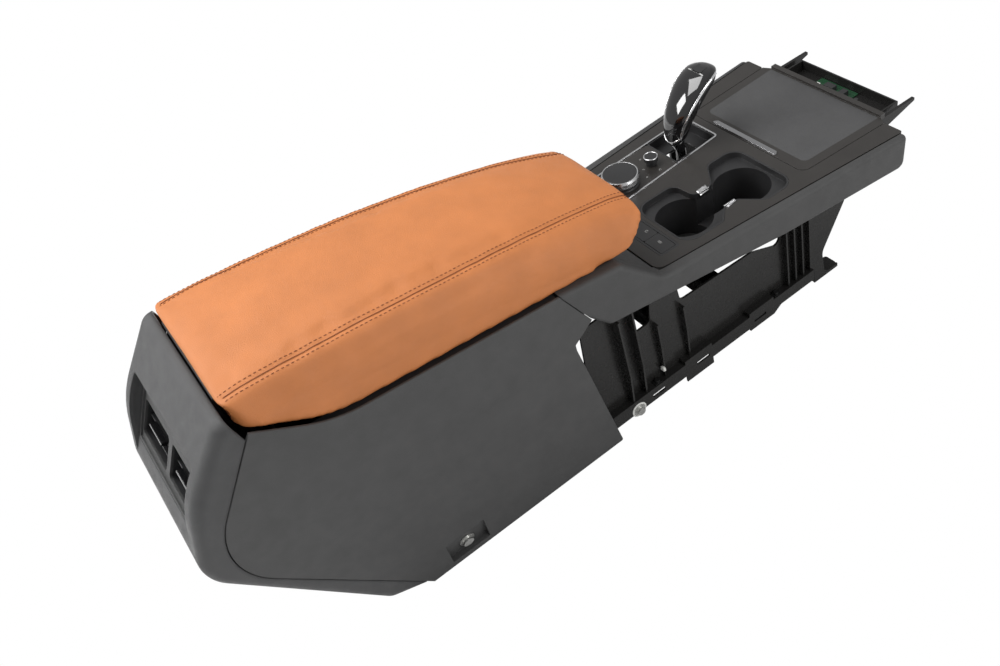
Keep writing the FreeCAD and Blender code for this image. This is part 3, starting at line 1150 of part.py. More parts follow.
def fasteners():
    """Groups of like fasteners: carrier bolts, clips on the beam and the pocket bolts."""
    bolts, clips, pockets = [], [], []
    skin = s.beam_outer
    tilt = math.atan2(float(s.pocket_depth) - 1, float(s.pocket_high - s.pocket_low) - 4)
    for side in (1, -1):
        out = Vector(side, 0, 0)
        washer = rod(side * skin, s.frame_bolt_y, s.frame_bolt_z, out, s.washer_radius * 0.8, s.washer_thick)
        head_x = side * (float(skin) + float(s.washer_thick))
        head = rod(head_x, s.frame_bolt_y, s.frame_bolt_z, out, s.bolt_head * 0.8, s.bolt_head_thick)
        shank = rod(side * (float(skin) - 8), s.frame_bolt_y, s.frame_bolt_z, out, s.bolt_radius, 8)
        bolts.append(washer.fuse([head, shank]).removeSplitter())
        for y in (44, 262):
            foot = Part.makeBox(8, 12, 1.2, Vector(side * 102.5 - 4, y, float(s.beam_high)))
            barrel = rod(side * 102.5, y + 6, s.beam_high + 1.2, Vector(0, 0, 1), 3.4, 4)
            clips.append(foot.fuse(barrel).removeSplitter())
        normal = Vector(side * math.cos(tilt), 0, -math.sin(tilt))
        share = (float(pocket_middle()) - float(s.pocket_low)) / (float(s.pocket_high - s.pocket_low) - 4)
        depth = float(s.pocket_depth) + (1 - float(s.pocket_depth)) * share
        seat = Vector(side * (float(s.half_rear) - depth), -float(s.pocket_y), float(pocket_middle()))
        ring = Part.makeCylinder(float(s.washer_radius), float(s.washer_thick), seat, normal)
        cap = Part.makeCylinder(float(s.bolt_head), float(s.bolt_head_thick), seat + normal * float(s.washer_thick), normal)
        stem = Part.makeCylinder(float(s.bolt_radius), 5, seat - normal * 5, normal)
        pockets.append(ring.fuse([cap, stem]).removeSplitter())
    for name, solids in (("frame_bolts", bolts), ("frame_clips", clips), ("panel_bolts", pockets)):
        node(shape_feature(name, Part.makeCompound(solids)), name)


def build():
    rear_end_cap()
    mirrored(right_side_panel(), "left_side_panel")
    storage_bin()
    bin_front_trim()
    armrest()
    armrest_hinge()
    armrest_release()
    vent_parts()
    deck_plate()
    cup_holder()
    shifter_field()
    shift_lever()
    knobs()
    button_bank()
    sliding_cover()
    cover_rails()
    front_tray()
    right_fascia()
    right_side_frame()
    cross_members()
    fasteners()


def check_and_write():
    doc.recompute()
    for obj in doc.Objects:
        if "Invalid" in obj.State or "Error" in obj.State:
            raise RuntimeError(f"{obj.Name} failed: {obj.State}")
    for obj in nodes:
        if obj.Shape.isNull() or not obj.Shape.isValid() or not obj.Shape.Solids:
            raise RuntimeError(f"{obj.Label} has no valid solid")
    os.makedirs("parts", exist_ok=True)
    for obj in nodes:
        obj.Shape.exportStep(f"parts/{obj.Label}.step")


build()
check_and_write()
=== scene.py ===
import math

import bmesh
import bpy
from mathutils import Matrix, Vector
from mathutils.bvhtree import BVHTree
from mathutils.kdtree import KDTree


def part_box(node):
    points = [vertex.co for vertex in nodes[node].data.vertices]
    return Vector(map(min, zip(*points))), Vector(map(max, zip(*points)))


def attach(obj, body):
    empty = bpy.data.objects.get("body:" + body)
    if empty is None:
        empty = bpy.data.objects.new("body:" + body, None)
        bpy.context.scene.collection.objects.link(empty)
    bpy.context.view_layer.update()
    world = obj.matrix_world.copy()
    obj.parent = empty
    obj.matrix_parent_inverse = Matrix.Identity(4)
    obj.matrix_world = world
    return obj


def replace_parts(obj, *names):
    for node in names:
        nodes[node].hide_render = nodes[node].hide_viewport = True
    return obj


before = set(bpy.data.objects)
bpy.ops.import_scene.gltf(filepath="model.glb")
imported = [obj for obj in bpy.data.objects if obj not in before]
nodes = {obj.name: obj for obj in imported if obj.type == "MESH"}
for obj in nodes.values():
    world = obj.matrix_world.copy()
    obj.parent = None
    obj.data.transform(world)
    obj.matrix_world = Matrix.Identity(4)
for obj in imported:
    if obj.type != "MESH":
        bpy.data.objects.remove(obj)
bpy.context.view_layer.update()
scene = bpy.context.scene
MM = 0.001
TURN = 2.0 * math.pi
WELD = 0.02 * MM
WHITE = (1.0, 1.0, 1.0, 1.0)

# The camera's place, solved from the photo.
EYE = Vector((0.8431, -0.4098, 1.0919))


# Materials. Every finish is made of nodes in object space, so that it stays with its piece.

PER_METRE = 1000.0
NOISE_RANGE = (0.3, 0.7)
CELL_RANGE = (0.0, 0.22)
CELL_WARP = (0.0012, 0.0012, 0.0012)
WARP_RATIO = 3.0
WEAR_RATIO = 0.4
LEAST_ROUGH = 0.02
COAT_ROUGH = 0.06
GRAIN_DEPTH = 0.25 * MM

# Sockets of the colour form of the Mix node, which share their names with its other forms.
MIX_FACTOR = 0
MIX_FIRST = 6
MIX_SECOND = 7
MIX_RESULT = 2


def add(tree, kind, **values):
    """Adds a shader node and sets its properties and inputs by name."""
    node = tree.nodes.new("ShaderNode" + kind)
    for key, value in values.items():
        if hasattr(node, key):
            setattr(node, key, value)
        else:
            node.inputs[key.replace("_", " ")].default_value = value
    return node


def between(tree, source, low_value, high_value, reach=NOISE_RANGE):
    """Spreads a texture value from its usual reach to the run between two numbers."""
    node = add(tree, "MapRange")
    node.inputs["From Min"].default_value = reach[0]
    node.inputs["From Max"].default_value = reach[1]
    node.inputs["To Min"].default_value = low_value
    node.inputs["To Max"].default_value = high_value
    tree.links.new(source, node.inputs["Value"])
    return node.outputs["Result"]


def cell_height(tree, place, size):
    """Height of a pebbled grain: cells whose outlines are bent by noise."""
    pebble = add(tree, "TexVoronoi", feature="DISTANCE_TO_EDGE", Scale=PER_METRE / size)
    warp = add(tree, "TexNoise", Scale=PER_METRE / (WARP_RATIO * size), Detail=3.0)
    blend = add(tree, "VectorMath", operation="MULTIPLY_ADD")
    blend.inputs[1].default_value = CELL_WARP
    tree.links.new(place, warp.inputs["Vector"])
    tree.links.new(warp.outputs["Color"], blend.inputs[0])
    tree.links.new(place, blend.inputs[2])
    tree.links.new(blend.outputs["Vector"], pebble.inputs["Vector"])
    return between(tree, pebble.outputs["Distance"], 0.0, 1.0, CELL_RANGE)


def noise_height(tree, place, size):
    """Height of a fine, even grain."""
    pebble = add(tree, "TexNoise", Scale=PER_METRE / size, Detail=3.0, Roughness=0.65)
    tree.links.new(place, pebble.inputs["Vector"])
    return pebble.outputs["Fac"]


def finish(name, colour, rough, metal=0.0, coat=0.0, tint=0.12, tint_size=40.0, grain=0.0,
           grain_size=1.1, cells=False, edge=0.6, spread=0.06, specular=0.5):
    """One finish: sizes of the colour patches, of the grain and of the soft edge are in millimetres."""
    material = bpy.data.materials.new(name)
    material.use_nodes = True
    tree = material.node_tree
    principled = tree.nodes["Principled BSDF"]
    place = add(tree, "TexCoord").outputs["Object"]
    patches = add(tree, "TexNoise", Scale=PER_METRE / tint_size, Detail=6.0, Roughness=0.6)
    tree.links.new(place, patches.inputs["Vector"])
    mix = add(tree, "Mix", data_type="RGBA")
    mix.inputs[MIX_FIRST].default_value = [c * (1.0 - tint) for c in colour] + [1.0]
    mix.inputs[MIX_SECOND].default_value = [min(1.0, c * (1.0 + tint)) for c in colour] + [1.0]
    tree.links.new(between(tree, patches.outputs["Fac"], 0.0, 1.0), mix.inputs[MIX_FACTOR])
    tree.links.new(mix.outputs[MIX_RESULT], principled.inputs["Base Color"])
    wear = add(tree, "TexNoise", Scale=PER_METRE / (tint_size * WEAR_RATIO), Detail=4.0)
    tree.links.new(place, wear.inputs["Vector"])
    worn = between(tree, wear.outputs["Fac"], max(LEAST_ROUGH, rough - spread), rough + spread)
    tree.links.new(worn, principled.inputs["Roughness"])
    principled.inputs["Metallic"].default_value = metal
    principled.inputs["Coat Weight"].default_value = coat
    principled.inputs["Coat Roughness"].default_value = COAT_ROUGH
    principled.inputs["Specular IOR Level"].default_value = specular
    normal = None
    if edge:
        normal = add(tree, "Bevel", samples=4, Radius=edge * MM).outputs["Normal"]
    if grain:
        height = (cell_height if cells else noise_height)(tree, place, grain_size)
        bump = add(tree, "Bump", Strength=grain, Distance=GRAIN_DEPTH)
        tree.links.new(height, bump.inputs["Height"])
        if normal:
            tree.links.new(normal, bump.inputs["Normal"])
        normal = bump.outputs["Normal"]
    if normal:
        tree.links.new(normal, principled.inputs["Normal"])
    return material


FINISH = {
    "leather": finish("tan_leather", (0.54, 0.188, 0.058), 0.52, tint=0.075, tint_size=55.0, grain=0.55,
                      grain_size=1.5, cells=True, edge=0.0, spread=0.07, specular=0.4),
    "grained": finish("grained_charcoal", (0.061, 0.061, 0.061), 0.56, tint=0.08, grain=0.55,
                      grain_size=1.0, cells=True, edge=1.2, specular=0.42),
    "cap": finish("cap_skin", (0.052, 0.052, 0.053), 0.5, tint=0.08, grain=0.6, grain_size=1.1, cells=True,
                  edge=7.0, specular=0.5),
    "hinge": finish("blackened_steel", (0.02, 0.02, 0.02), 0.45, metal=0.6, tint=0.1, grain=0.1,
                    grain_size=0.8, edge=0.4),
    "soft_skin": finish("soft_skin", (0.05, 0.05, 0.05), 0.5, tint=0.08, grain=0.4,
                        grain_size=0.9, cells=True, edge=1.2, specular=0.45),
    "satin_deck": finish("satin_deck", (0.028, 0.0255, 0.0235), 0.36, tint=0.1, grain=0.12,
                         grain_size=0.5, edge=0.5),
    "inset": finish("cover_skin", (0.062, 0.062, 0.063), 0.48, tint=0.08, grain=0.5,
                    grain_size=1.0, cells=True, edge=0.6),
    "black_plastic": finish("plain_black", (0.022, 0.022, 0.023), 0.42, tint=0.12, grain=0.18,
                            grain_size=0.7, edge=0.5),
    "gloss_black": finish("polished_black", (0.006, 0.006, 0.0065), 0.07, coat=0.6, tint=0.15, edge=0.8,
                          spread=0.03),
    "carrier": finish("carrier_moulding", (0.014, 0.0135, 0.013), 0.27, tint=0.1, grain=0.05,
                      grain_size=0.7, edge=0.0, spread=0.03, specular=0.3),
    "chrome": finish("bright_plated", (0.86, 0.86, 0.87), 0.08, metal=1.0, tint=0.03, edge=0.3, spread=0.03),
    "bar": finish("dark_plated", (0.42, 0.42, 0.43), 0.14, metal=1.0, tint=0.04, edge=0.8, spread=0.03),
    "silver": finish("satin_silver", (0.72, 0.72, 0.73), 0.22, metal=1.0, tint=0.05, grain=0.06,
                     grain_size=0.5, edge=0.4),
    "steel": finish("zinc_plated", (0.6, 0.6, 0.58), 0.3, metal=1.0, tint=0.1, tint_size=9.0, grain=0.1,
                    grain_size=0.8, edge=0.4),
    "mat_rubber": finish("mat_rubber", (0.018, 0.018, 0.018), 0.7, tint=0.1, grain=0.3, grain_size=0.9,
                         edge=0.5),
    "board": finish("lacquered_board", (0.012, 0.06, 0.025), 0.3, tint=0.25, tint_size=7.0, coat=0.3,
                    edge=0.2),
    "white_plastic": finish("natural_white", (0.72, 0.72, 0.69), 0.4, tint=0.05, grain=0.08,
                            grain_size=0.7, edge=0.4),
    "thread": finish("brown_thread", (0.24, 0.075, 0.022), 0.6, tint=0.2, tint_size=4.0, grain=0.5,
                     grain_size=0.35, edge=0.0),
    "seam": finish("seam_shadow", (0.25, 0.08, 0.025), 0.65, tint=0.15, tint_size=6.0, grain=0.3,
                   grain_size=0.5, edge=0.0),
    "mirror_black": finish("mirror_black", (0.004, 0.004, 0.0045), 0.04, coat=1.0, tint=0.1, edge=0.0,
                           spread=0.02),
    "mark": finish("printed_mark", (0.42, 0.42, 0.41), 0.45, tint=0.04, edge=0.0),
}

# The CAD pieces of each finish. Those not named here are plain black.
PIECES = {
    "leather": "armrest_cushion",
    "grained": "right_side_panel left_side_panel bin_front_trim vent_bezel",
    "cap": "rear_end_cap",
    "bar": "cover_handle",
    "hinge": "hinge_bracket hinge_leaf hinge_pin shifter_pivot_pin frame_clips",
    "soft_skin": "right_fascia left_fascia",
    "satin_deck": "deck_plate control_panel cover_panel",
    "inset": "cover_inset",
    "gloss_black": "shift_lever park_button vent_tab_left vent_tab_right",
    "carrier": "right_side_frame left_side_frame cross_members right_cover_rail left_cover_rail front_tray",
    "chrome": "cup_grips lever_trim",
    "silver": "shifter_frame rotary_knob",
    "steel": "latch_striker frame_bolts panel_bolts",
    "mat_rubber": "bin_mat cup_mats",
    "board": "circuit_board",
    "white_plastic": "board_connectors",
}
finish_of = {}
for key, names in PIECES.items():
    for name in names.split():
        finish_of[name] = key
for name, node in nodes.items():
    node.data.materials.clear()
    node.data.materials.append(FINISH[finish_of.get(name, "black_plastic")])


# Tools for new pieces.

def piece(name, mesh, body, key):
    """A new piece that rides on a body, in one finish."""
    obj = bpy.data.objects.new(name, mesh)
    scene.collection.objects.link(obj)
    mesh.materials.clear()
    mesh.materials.append(FINISH[key])
    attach(obj, body)
    return obj


def shaped(name, bm, body, key):
    """A new piece from a finished bmesh."""
    mesh = bpy.data.meshes.new(name)
    bm.normal_update()
    bm.to_mesh(mesh)
    bm.free()
    return piece(name, mesh, body, key)


def tree_of(obj):
    """A finder of places on an object's surface."""
    graph = bpy.context.evaluated_depsgraph_get()
    return BVHTree.FromObject(obj, graph)


def finder(points):
    """A finder of the nearest of some points."""
    tree = KDTree(len(points))
    for index, point in enumerate(points):
        tree.insert(point, index)
    tree.balance()
    return tree


def evaluated_mesh(obj):
    """A new mesh of an object as its modifiers leave it."""
    graph = bpy.context.evaluated_depsgraph_get()
    graph.update()
    return bpy.data.meshes.new_from_object(obj.evaluated_get(graph))


def tube(bm, rings):
    """Joins rings of points into a closed tube."""
    loops = [[bm.verts.new(p) for p in points] for points in rings]
    for a, b in zip(loops, loops[1:]):
        for i in range(len(a)):
            j = (i + 1) % len(a)
            bm.faces.new((a[i], a[j], b[j], b[i])).smooth = True
    bm.faces.new(list(reversed(loops[0])))
    bm.faces.new(loops[-1])


def hoop(bm, rings):
    """Joins rings of points into a ring that closes on itself."""
    loops = [[bm.verts.new(p) for p in points] for points in rings]
    for i, a in enumerate(loops):
        b = loops[(i + 1) % len(loops)]
        for j in range(len(a)):
            k = (j + 1) % len(a)
            bm.faces.new((a[j], b[j], b[k], a[k])).smooth = True


def sheet(bm, rows, smooth):
    """Joins rows of points into an open sheet."""
    lines = [[bm.verts.new(p) for p in row] for row in rows]
    for a, b in zip(lines, lines[1:]):
        for j in range(len(a) - 1):
            bm.faces.new((a[j], a[j + 1], b[j + 1], b[j])).smooth = smooth


def ring(centre, along, up, radius, sides=6, flat=1.0):
    """Points round a centre, across a direction. Flat is the ring's height as a share of its width."""
    across = along.cross(up).normalized()
    up = across.cross(along).normalized()
    turn = TURN / sides
    return [centre + across * (radius * math.cos(turn * i)) + up * (radius * flat * math.sin(turn * i))
            for i in range(sides)]


# Seams: the place along the armrest, half the width of its top and the height over the floor, in millimetres.

SEAM = [(-426, 94, 405), (-425, 95.5, 428), (-415, 97, 438), (-380, 98, 435.5), (-300, 95, 424),
        (-200, 93, 409), (-100, 87, 389), (0, 78, 362), (60, 69, 342), (84, 66, 327), (90, 65.5, 305)]
SEAM_TOP = (-420, 85)
SEAM_INSET = 4.0
SEAM_LIFT = 2.0
SEAM_STEP = 2.0 * MM
# The seam cord is a dark tube that paints the shade in the seam's groove; below are how deep it sinks and its
# radius.
SEAM_SINK = 0.35 * MM
SEAM_SHADE_RADIUS = 0.5 * MM
DIP_REACH = 5.0 * MM
DIP = 1.3 * MM
DIP_POWER = 1.5
STITCH = 3.6 * MM
STITCH_GAP = 2.0 * MM
ROW = 5.2 * MM

# A stitch: the cells of one pitch, then its rings, each with its place in cells and its lift and radius in
# millimetres.
STITCH_CELLS = 4
THREAD = ((0.0, -0.25, 0.3), (0.6, 0.18, 0.5), (1.3, 0.26, 0.55), (2.0, 0.18, 0.5), (2.6, -0.25, 0.3))


def seam_height(y):
    """Height of the seam line over the floor at a place along the armrest."""
    rows = [row for row in SEAM if SEAM_TOP[0] < row[0] < SEAM_TOP[1]]
    place = min(max(y / MM, rows[0][0]), rows[-1][0])
    for a, b in zip(rows, rows[1:]):
        if place <= b[0]:
            return (a[2] + (b[2] - a[2]) * (place - a[0]) / (b[0] - a[0])) * MM
    return rows[-1][2] * MM


# The armrest pad: foam under leather. It starts as a smaller skin of the cushion, swells under cloth
# pressure with its underside held, and is then shaped along its hem, rear edge, sides and rear corners.

VOXEL = 4.6 * MM
RELAX = 0.5
FIRST_RELAX = (12, 0.48)
SECOND_RELAX = (10, 0.46)
UNDERSIDE = -0.5
SHRINK = 1.2 * MM
UNDER_RISE = 3.0 * MM
HEM_DROP = 1.6 * MM
SWELL_FRAMES = 20
SWELL_CAP = 3.0 * MM
RIM_FADE = 40.0 * MM
HEM_REACH = 13.0 * MM
HEM_GAP = 7.0 * MM
HEM_PULL = 1.6
BOARD_ROOM = 8.0 * MM
REAR_LAP = 7.0 * MM
LAP_REACH = 22.0 * MM
LAP_FOOT = 422.0 * MM
LAP_RISE = 10.0 * MM
LAP_GAIN = 1.5
SIDE_ROLL = 8.0 * MM
ROLL_HEIGHT = 58.0 * MM
ROLL_INNER = 55.0 * MM
CORNER = 24.0 * MM
OUTER_ROOM = 8.0 * MM
FACES_DOWN = -0.3
FACES_BACK = -0.5
CLOTH = {"quality": 5, "mass": 0.3, "tension_stiffness": 20.0, "compression_stiffness": 20.0,
         "shear_stiffness": 8.0, "bending_stiffness": 12.0, "use_pressure": True,
         "uniform_pressure_force": 4.0, "vertex_group_mass": "held"}


def joined(*names):
    """The pad and the board inside it as one closed block, so that no thin wall is left to remesh."""
    bm = bmesh.new()
    for name in names:
        bm.from_mesh(nodes[name].data)
    mesh = bpy.data.meshes.new("armrest_block")
    bm.to_mesh(mesh)
    bm.free()
    return mesh


def remesh(obj, size):
    """Turns an object's mesh into one closed skin of even faces."""
    weld = obj.modifiers.new("weld", "WELD")
    weld.merge_threshold = WELD
    even_faces = obj.modifiers.new("remesh", "REMESH")
    even_faces.mode = "VOXEL"
    even_faces.voxel_size = size
    mesh = evaluated_mesh(obj)
    obj.modifiers.clear()
    obj.data = mesh


def relax(mesh, near, amount):
    """Moves every point by a share of the way to the middle of its neighbours."""
    points = [v.co.copy() for v in mesh.vertices]
    for vertex, point, others in zip(mesh.vertices, points, near):
        middle = Vector()
        for other in others:
            middle += points[other]
        vertex.co = point.lerp(middle / len(others), amount)


def smooth(mesh, rounds, back):
    """Rounds the voxel steps off. Each round moves the points in and then back, to keep the volume."""
    near = [[] for _ in mesh.vertices]
    for edge in mesh.edges:
        a, b = edge.vertices
        near[a].append(b)
        near[b].append(a)
    for _ in range(rounds):
        relax(mesh, near, RELAX)
        relax(mesh, near, -back)
    mesh.update()


def shrink(mesh, held):
    """Draws the skin in, raises the underside below the board and drops the hem round it."""
    board_low, board_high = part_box("armrest_base")
    for vertex in mesh.vertices:
        if not held[vertex.index]:
            vertex.co -= vertex.normal * SHRINK
        elif (board_low.x < vertex.co.x < board_high.x) and (board_low.y < vertex.co.y < board_high.y):
            vertex.co.z += UNDER_RISE
        else:
            vertex.co.z -= HEM_DROP


def swell(pad, held, start, rim):
    """Swells the skin by cloth pressure. The move is capped, and it fades towards the held rim."""
    group = pad.vertex_groups.new(name="held")
    group.add([i for i, fixed in enumerate(held) if fixed], 1.0, "REPLACE")
    cloth = pad.modifiers.new("cloth", "CLOTH")
    for key, value in CLOTH.items():
        setattr(cloth.settings, key, value)
    cloth.settings.effector_weights.gravity = 0.0
    cloth.collision_settings.use_collision = False
    for step in range(1, SWELL_FRAMES + 1):
        scene.frame_set(step)
    swollen = evaluated_mesh(pad)
    pad.modifiers.clear()
    for vertex, after, before in zip(pad.data.vertices, swollen.vertices, start):
        move = after.co - before
        cap = SWELL_CAP * min(1.0, rim.find(before)[2] / RIM_FADE)
        if move.length > cap:
            move *= cap / move.length
        vertex.co = before + move
    scene.frame_set(1)


def set_hem(mesh, held, start, rim, cushion):
    """Lays the skin just above the rim back onto the side of the CAD cushion."""
    board = tree_of(nodes["armrest_base"])
    for vertex in mesh.vertices:
        near_rim = 1.0 - rim.find(start[vertex.index])[2] / HEM_REACH
        point, normal, face, gap = cushion.find_nearest(vertex.co)
        inner = board.find_nearest(vertex.co, BOARD_ROOM)[0]
        if near_rim > 0.0 and not held[vertex.index] and inner is None and gap < HEM_GAP:
            vertex.co = vertex.co.lerp(point, min(1.0, HEM_PULL * near_rim))


def rear_of(mesh):
    """The rearmost place of a mesh."""
    return min(v.co.y for v in mesh.vertices)


def lap_rear(mesh, rear):
    """Draws the upper rear edge back over the hinge."""
    for vertex in mesh.vertices:
        back = 1.0 - (vertex.co.y - rear) / LAP_REACH
        lift = (vertex.co.z - LAP_FOOT) / LAP_RISE
        if back > 0.0 and lift > 0.0:
            vertex.co.y -= REAR_LAP * min(1.0, back * LAP_GAIN) * min(1.0, lift)


def roll_sides(mesh):
    """Rounds the sides out below the seams."""
    for vertex in mesh.vertices:
        below = (seam_height(vertex.co.y) - vertex.co.z) / ROLL_HEIGHT
        if 0.0 < below < 1.0 and abs(vertex.co.x) > ROLL_INNER:
            vertex.co.x += math.copysign(SIDE_ROLL, vertex.co.x) * math.sin(math.pi * below ** 0.5)


def round_corners(mesh, half, rear):
    """Brings the two rear corners in to a radius, seen from above."""
    for vertex in mesh.vertices:
        wide = abs(vertex.co.x) - (half - CORNER)
        deep = rear + CORNER - vertex.co.y
        reach = math.hypot(wide, deep)
        if wide > 0.0 and deep > 0.0 and reach > CORNER:
            vertex.co.x = math.copysign(half - CORNER + wide * CORNER / reach, vertex.co.x)
            vertex.co.y = rear + CORNER - deep * CORNER / reach


def refine(pad, cushion):
    """Divides the skin once, keeps it near the CAD cushion and makes it smooth."""
    divide = pad.modifiers.new("divide", "SUBSURF")
    divide.levels = 1
    divide.render_levels = 1
    fine = evaluated_mesh(pad)
    pad.modifiers.clear()
    pad.data = fine
    for vertex in fine.vertices:
        point, normal, face, gap = cushion.find_nearest(vertex.co)
        beyond = (vertex.co - point).dot(normal) - OUTER_ROOM
        if beyond > 0.0 and normal.z > FACES_DOWN and normal.y > FACES_BACK:
            vertex.co -= normal * beyond
    for polygon in fine.polygons:
        polygon.use_smooth = True
    fine.materials.clear()
    fine.materials.append(FINISH["leather"])


def armrest_pad():
    """The whole pad, from the CAD block to the finished skin."""
    pad = piece("armrest_pad", joined("armrest_cushion", "armrest_base"), "armrest", "leather")
    remesh(pad, VOXEL)
    mesh = pad.data
    cushion = tree_of(nodes["armrest_cushion"])
    smooth(mesh, *FIRST_RELAX)
    held = [v.normal.z < UNDERSIDE for v in mesh.vertices]
    shrink(mesh, held)
    start = [v.co.copy() for v in mesh.vertices]
    rim = finder([point for point, fixed in zip(start, held) if fixed])
    swell(pad, held, start, rim)
    smooth(mesh, *SECOND_RELAX)
    rear = rear_of(mesh)
    set_hem(mesh, held, start, rim, cushion)
    lap_rear(mesh, rear)
    half = max(abs(v.co.x) for v in mesh.vertices if v.co.y < rear + 2.0 * CORNER)
    rear = rear_of(mesh)
    roll_sides(mesh)
    round_corners(mesh, half, rear)
    refine(pad, cushion)
    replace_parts(pad, "armrest_cushion")
    return pad


# Sewing: a dark cord along each seam, which paints the shade in the seam's groove, and a row of stitches on
# each side of it.

def seam_line(side):
    """A smooth line led by the stations, read from a NURBS spline."""
    data = bpy.data.curves.new("seam_route", "CURVE")
    data.dimensions = "3D"
    data.resolution_u = 24
    spline = data.splines.new("NURBS")
    spline.points.add(len(SEAM) - 1)
    for point, (y, half, z) in zip(spline.points, SEAM):
        point.co = (side * (half - SEAM_INSET) * MM, y * MM, (z + SEAM_LIFT) * MM, 1.0)
    spline.order_u = 3
    spline.use_endpoint_u = True
    route = bpy.data.objects.new("seam_route", data)
    scene.collection.objects.link(route)
    mesh = evaluated_mesh(route)
    points = [v.co.copy() for v in mesh.vertices]
    bpy.data.objects.remove(route)
    return points


def even(points, step):
    """Walks along a line and gives points at equal steps."""
    result = [points[0].copy()]
    left = step
    for a, b in zip(points, points[1:]):
        run = (b - a).length
        done = 0.0
        while run - done >= left:
            done += left
            result.append(a.lerp(b, done / run))
            left = step
        left -= run - done
    return result


def laid(points, surface):
    """Puts a line on the leather and gives its points with the surface's normals."""
    return [surface.find_nearest(point)[:2] for point in points]


def heading(line, index, reach):
    """The direction of a laid line at one of its points."""
    ahead = line[min(index + reach, len(line) - 1)][0] - line[max(index - reach, 0)][0]
    return ahead.normalized()


def lay_seam_shade(bm, line):
    """A thin dark cord along a seam, which paints the shade in its groove."""
    tube(bm, [ring(spot - normal * SEAM_SINK, heading(line, k, 1), normal, SEAM_SHADE_RADIUS)
              for k, (spot, normal) in enumerate(line)])


def lay_stitches(bm, line, offset, surface):
    """A row of stitches beside a seam."""
    row = [spot + heading(line, k, 2).cross(normal).normalized() * offset
           for k, (spot, normal) in enumerate(line)]
    fine = laid(even(row, (STITCH + STITCH_GAP) / STITCH_CELLS), surface)
    for k in range(0, len(fine) - STITCH_CELLS, STITCH_CELLS):
        rings = []
        for step, lift, size in THREAD:
            cell = int(step)
            spot, normal = fine[k + cell]
            after = fine[k + cell + 1][0]
            centre = spot.lerp(after, step - cell) + normal * lift * MM
            rings.append(ring(centre, (after - spot).normalized(), normal, size * MM))
        tube(bm, rings)


def sewn(pad):
    """Sews both seams and gives their points."""
    surface = tree_of(pad)
    threads = bmesh.new()
    seam_shade = bmesh.new()
    points = []
    for side in (-1.0, 1.0):
        line = laid(even(seam_line(side), SEAM_STEP), surface)
        points += [spot for spot, normal in line]
        lay_seam_shade(seam_shade, line)
        for offset in (-ROW, ROW):
            lay_stitches(threads, line, offset, surface)
    shaped("armrest_stitching", threads, "armrest", "thread")
    # The seam cords carry painted shade along the seams' grooves.
    shaped("armrest_seam_shade", seam_shade, "armrest", "seam")
    return points


def pull_in(pad, points):
    """The leather dips along its seams."""
    seams = finder(points)
    mesh = pad.data
    normals = [v.normal.copy() for v in mesh.vertices]
    for vertex, normal in zip(mesh.vertices, normals):
        gap = seams.find(vertex.co)[2]
        if gap < DIP_REACH:
            vertex.co -= normal * (DIP * (1.0 - gap / DIP_REACH) ** DIP_POWER)


pad = armrest_pad()
pull_in(pad, sewn(pad))


# Printed marks: simple generic shapes laid on the control field and the two push buttons. Their places and
# sizes are in the tilted deck's frame, in millimetres.

TILT = math.radians(2.58)
DECK_HEIGHT = 240.0
DECK_UP = Vector((0.0, math.sin(TILT), math.cos(TILT)))
ABOVE_DECK = 60.0
MARK_LIFT = 0.06 * MM
LINE = 0.6
THIN_LINE = 0.55


def deck(x, y, z):
    """A place in the deck's frame, in millimetres, as a place in the scene."""
    return Vector((x, y * math.cos(TILT) + z * math.sin(TILT),
                   DECK_HEIGHT - y * math.sin(TILT) + z * math.cos(TILT))) * MM


def bar(x, y, width, height):
    """The corners of a bar about its middle."""
    left, right = x - width / 2, x + width / 2
    near, far = y - height / 2, y + height / 2
    return [(left, near), (right, near), (right, far), (left, far)]


def arc_bars(x, y, radius, start, end, width, count=10):
    """An arc as a row of short bars, between two angles."""
    inner, outer = radius - width / 2, radius + width / 2
    shapes = []
    for i in range(count):
        a = start + (end - start) * i / count
        b = start + (end - start) * (i + 1) / count
        shapes.append([(x + reach * math.cos(angle), y + reach * math.sin(angle))
                       for reach, angle in ((outer, a), (outer, b), (inner, b), (inner, a))])
    return shapes


CONTROL_MARKS = ([bar(-80, 208, 2.8, LINE), bar(-80, 209.6, 1.8, LINE),
                  bar(-60, 197, LINE, 2.8), bar(-58.8, 198, 1.8, LINE)]
                 + arc_bars(-42, 212, 1.4, 0.5, 5.5, THIN_LINE)
                 + [bar(-43, 190, 2.4, LINE), bar(-43, 190, LINE, 2.4)])
BUTTON_MARK_1 = arc_bars(42, 117, 1.9, 0.9, 6.0, LINE) + [bar(42, 118.6, LINE, 1.9)]
BUTTON_MARK_2 = [bar(70, 116.3, 5.2, THIN_LINE), bar(70, 113.7, 5.2, THIN_LINE),
                 bar(67.4, 115, THIN_LINE, 2.1), bar(72.6, 115, THIN_LINE, 2.1),
                 bar(70, 115, 2.8, THIN_LINE)]


def printed(name, node, body, shapes):
    """Flat shapes dropped onto a node from above."""
    surface = tree_of(nodes[node])
    bm = bmesh.new()
    for shape in shapes:
        spots = [surface.ray_cast(deck(x, y, ABOVE_DECK), -DECK_UP)[0] for x, y in shape]
        bm.faces.new([bm.verts.new(spot + DECK_UP * MARK_LIFT) for spot in spots])
    shaped(name, bm, body, "mark")


printed("control_marks", "control_panel", "console", CONTROL_MARKS)
printed("button_mark_1", "console_button_1", "button_1", BUTTON_MARK_1)
printed("button_mark_2", "console_button_2", "button_2", BUTTON_MARK_2)


# Clips and bolts of the carrier.

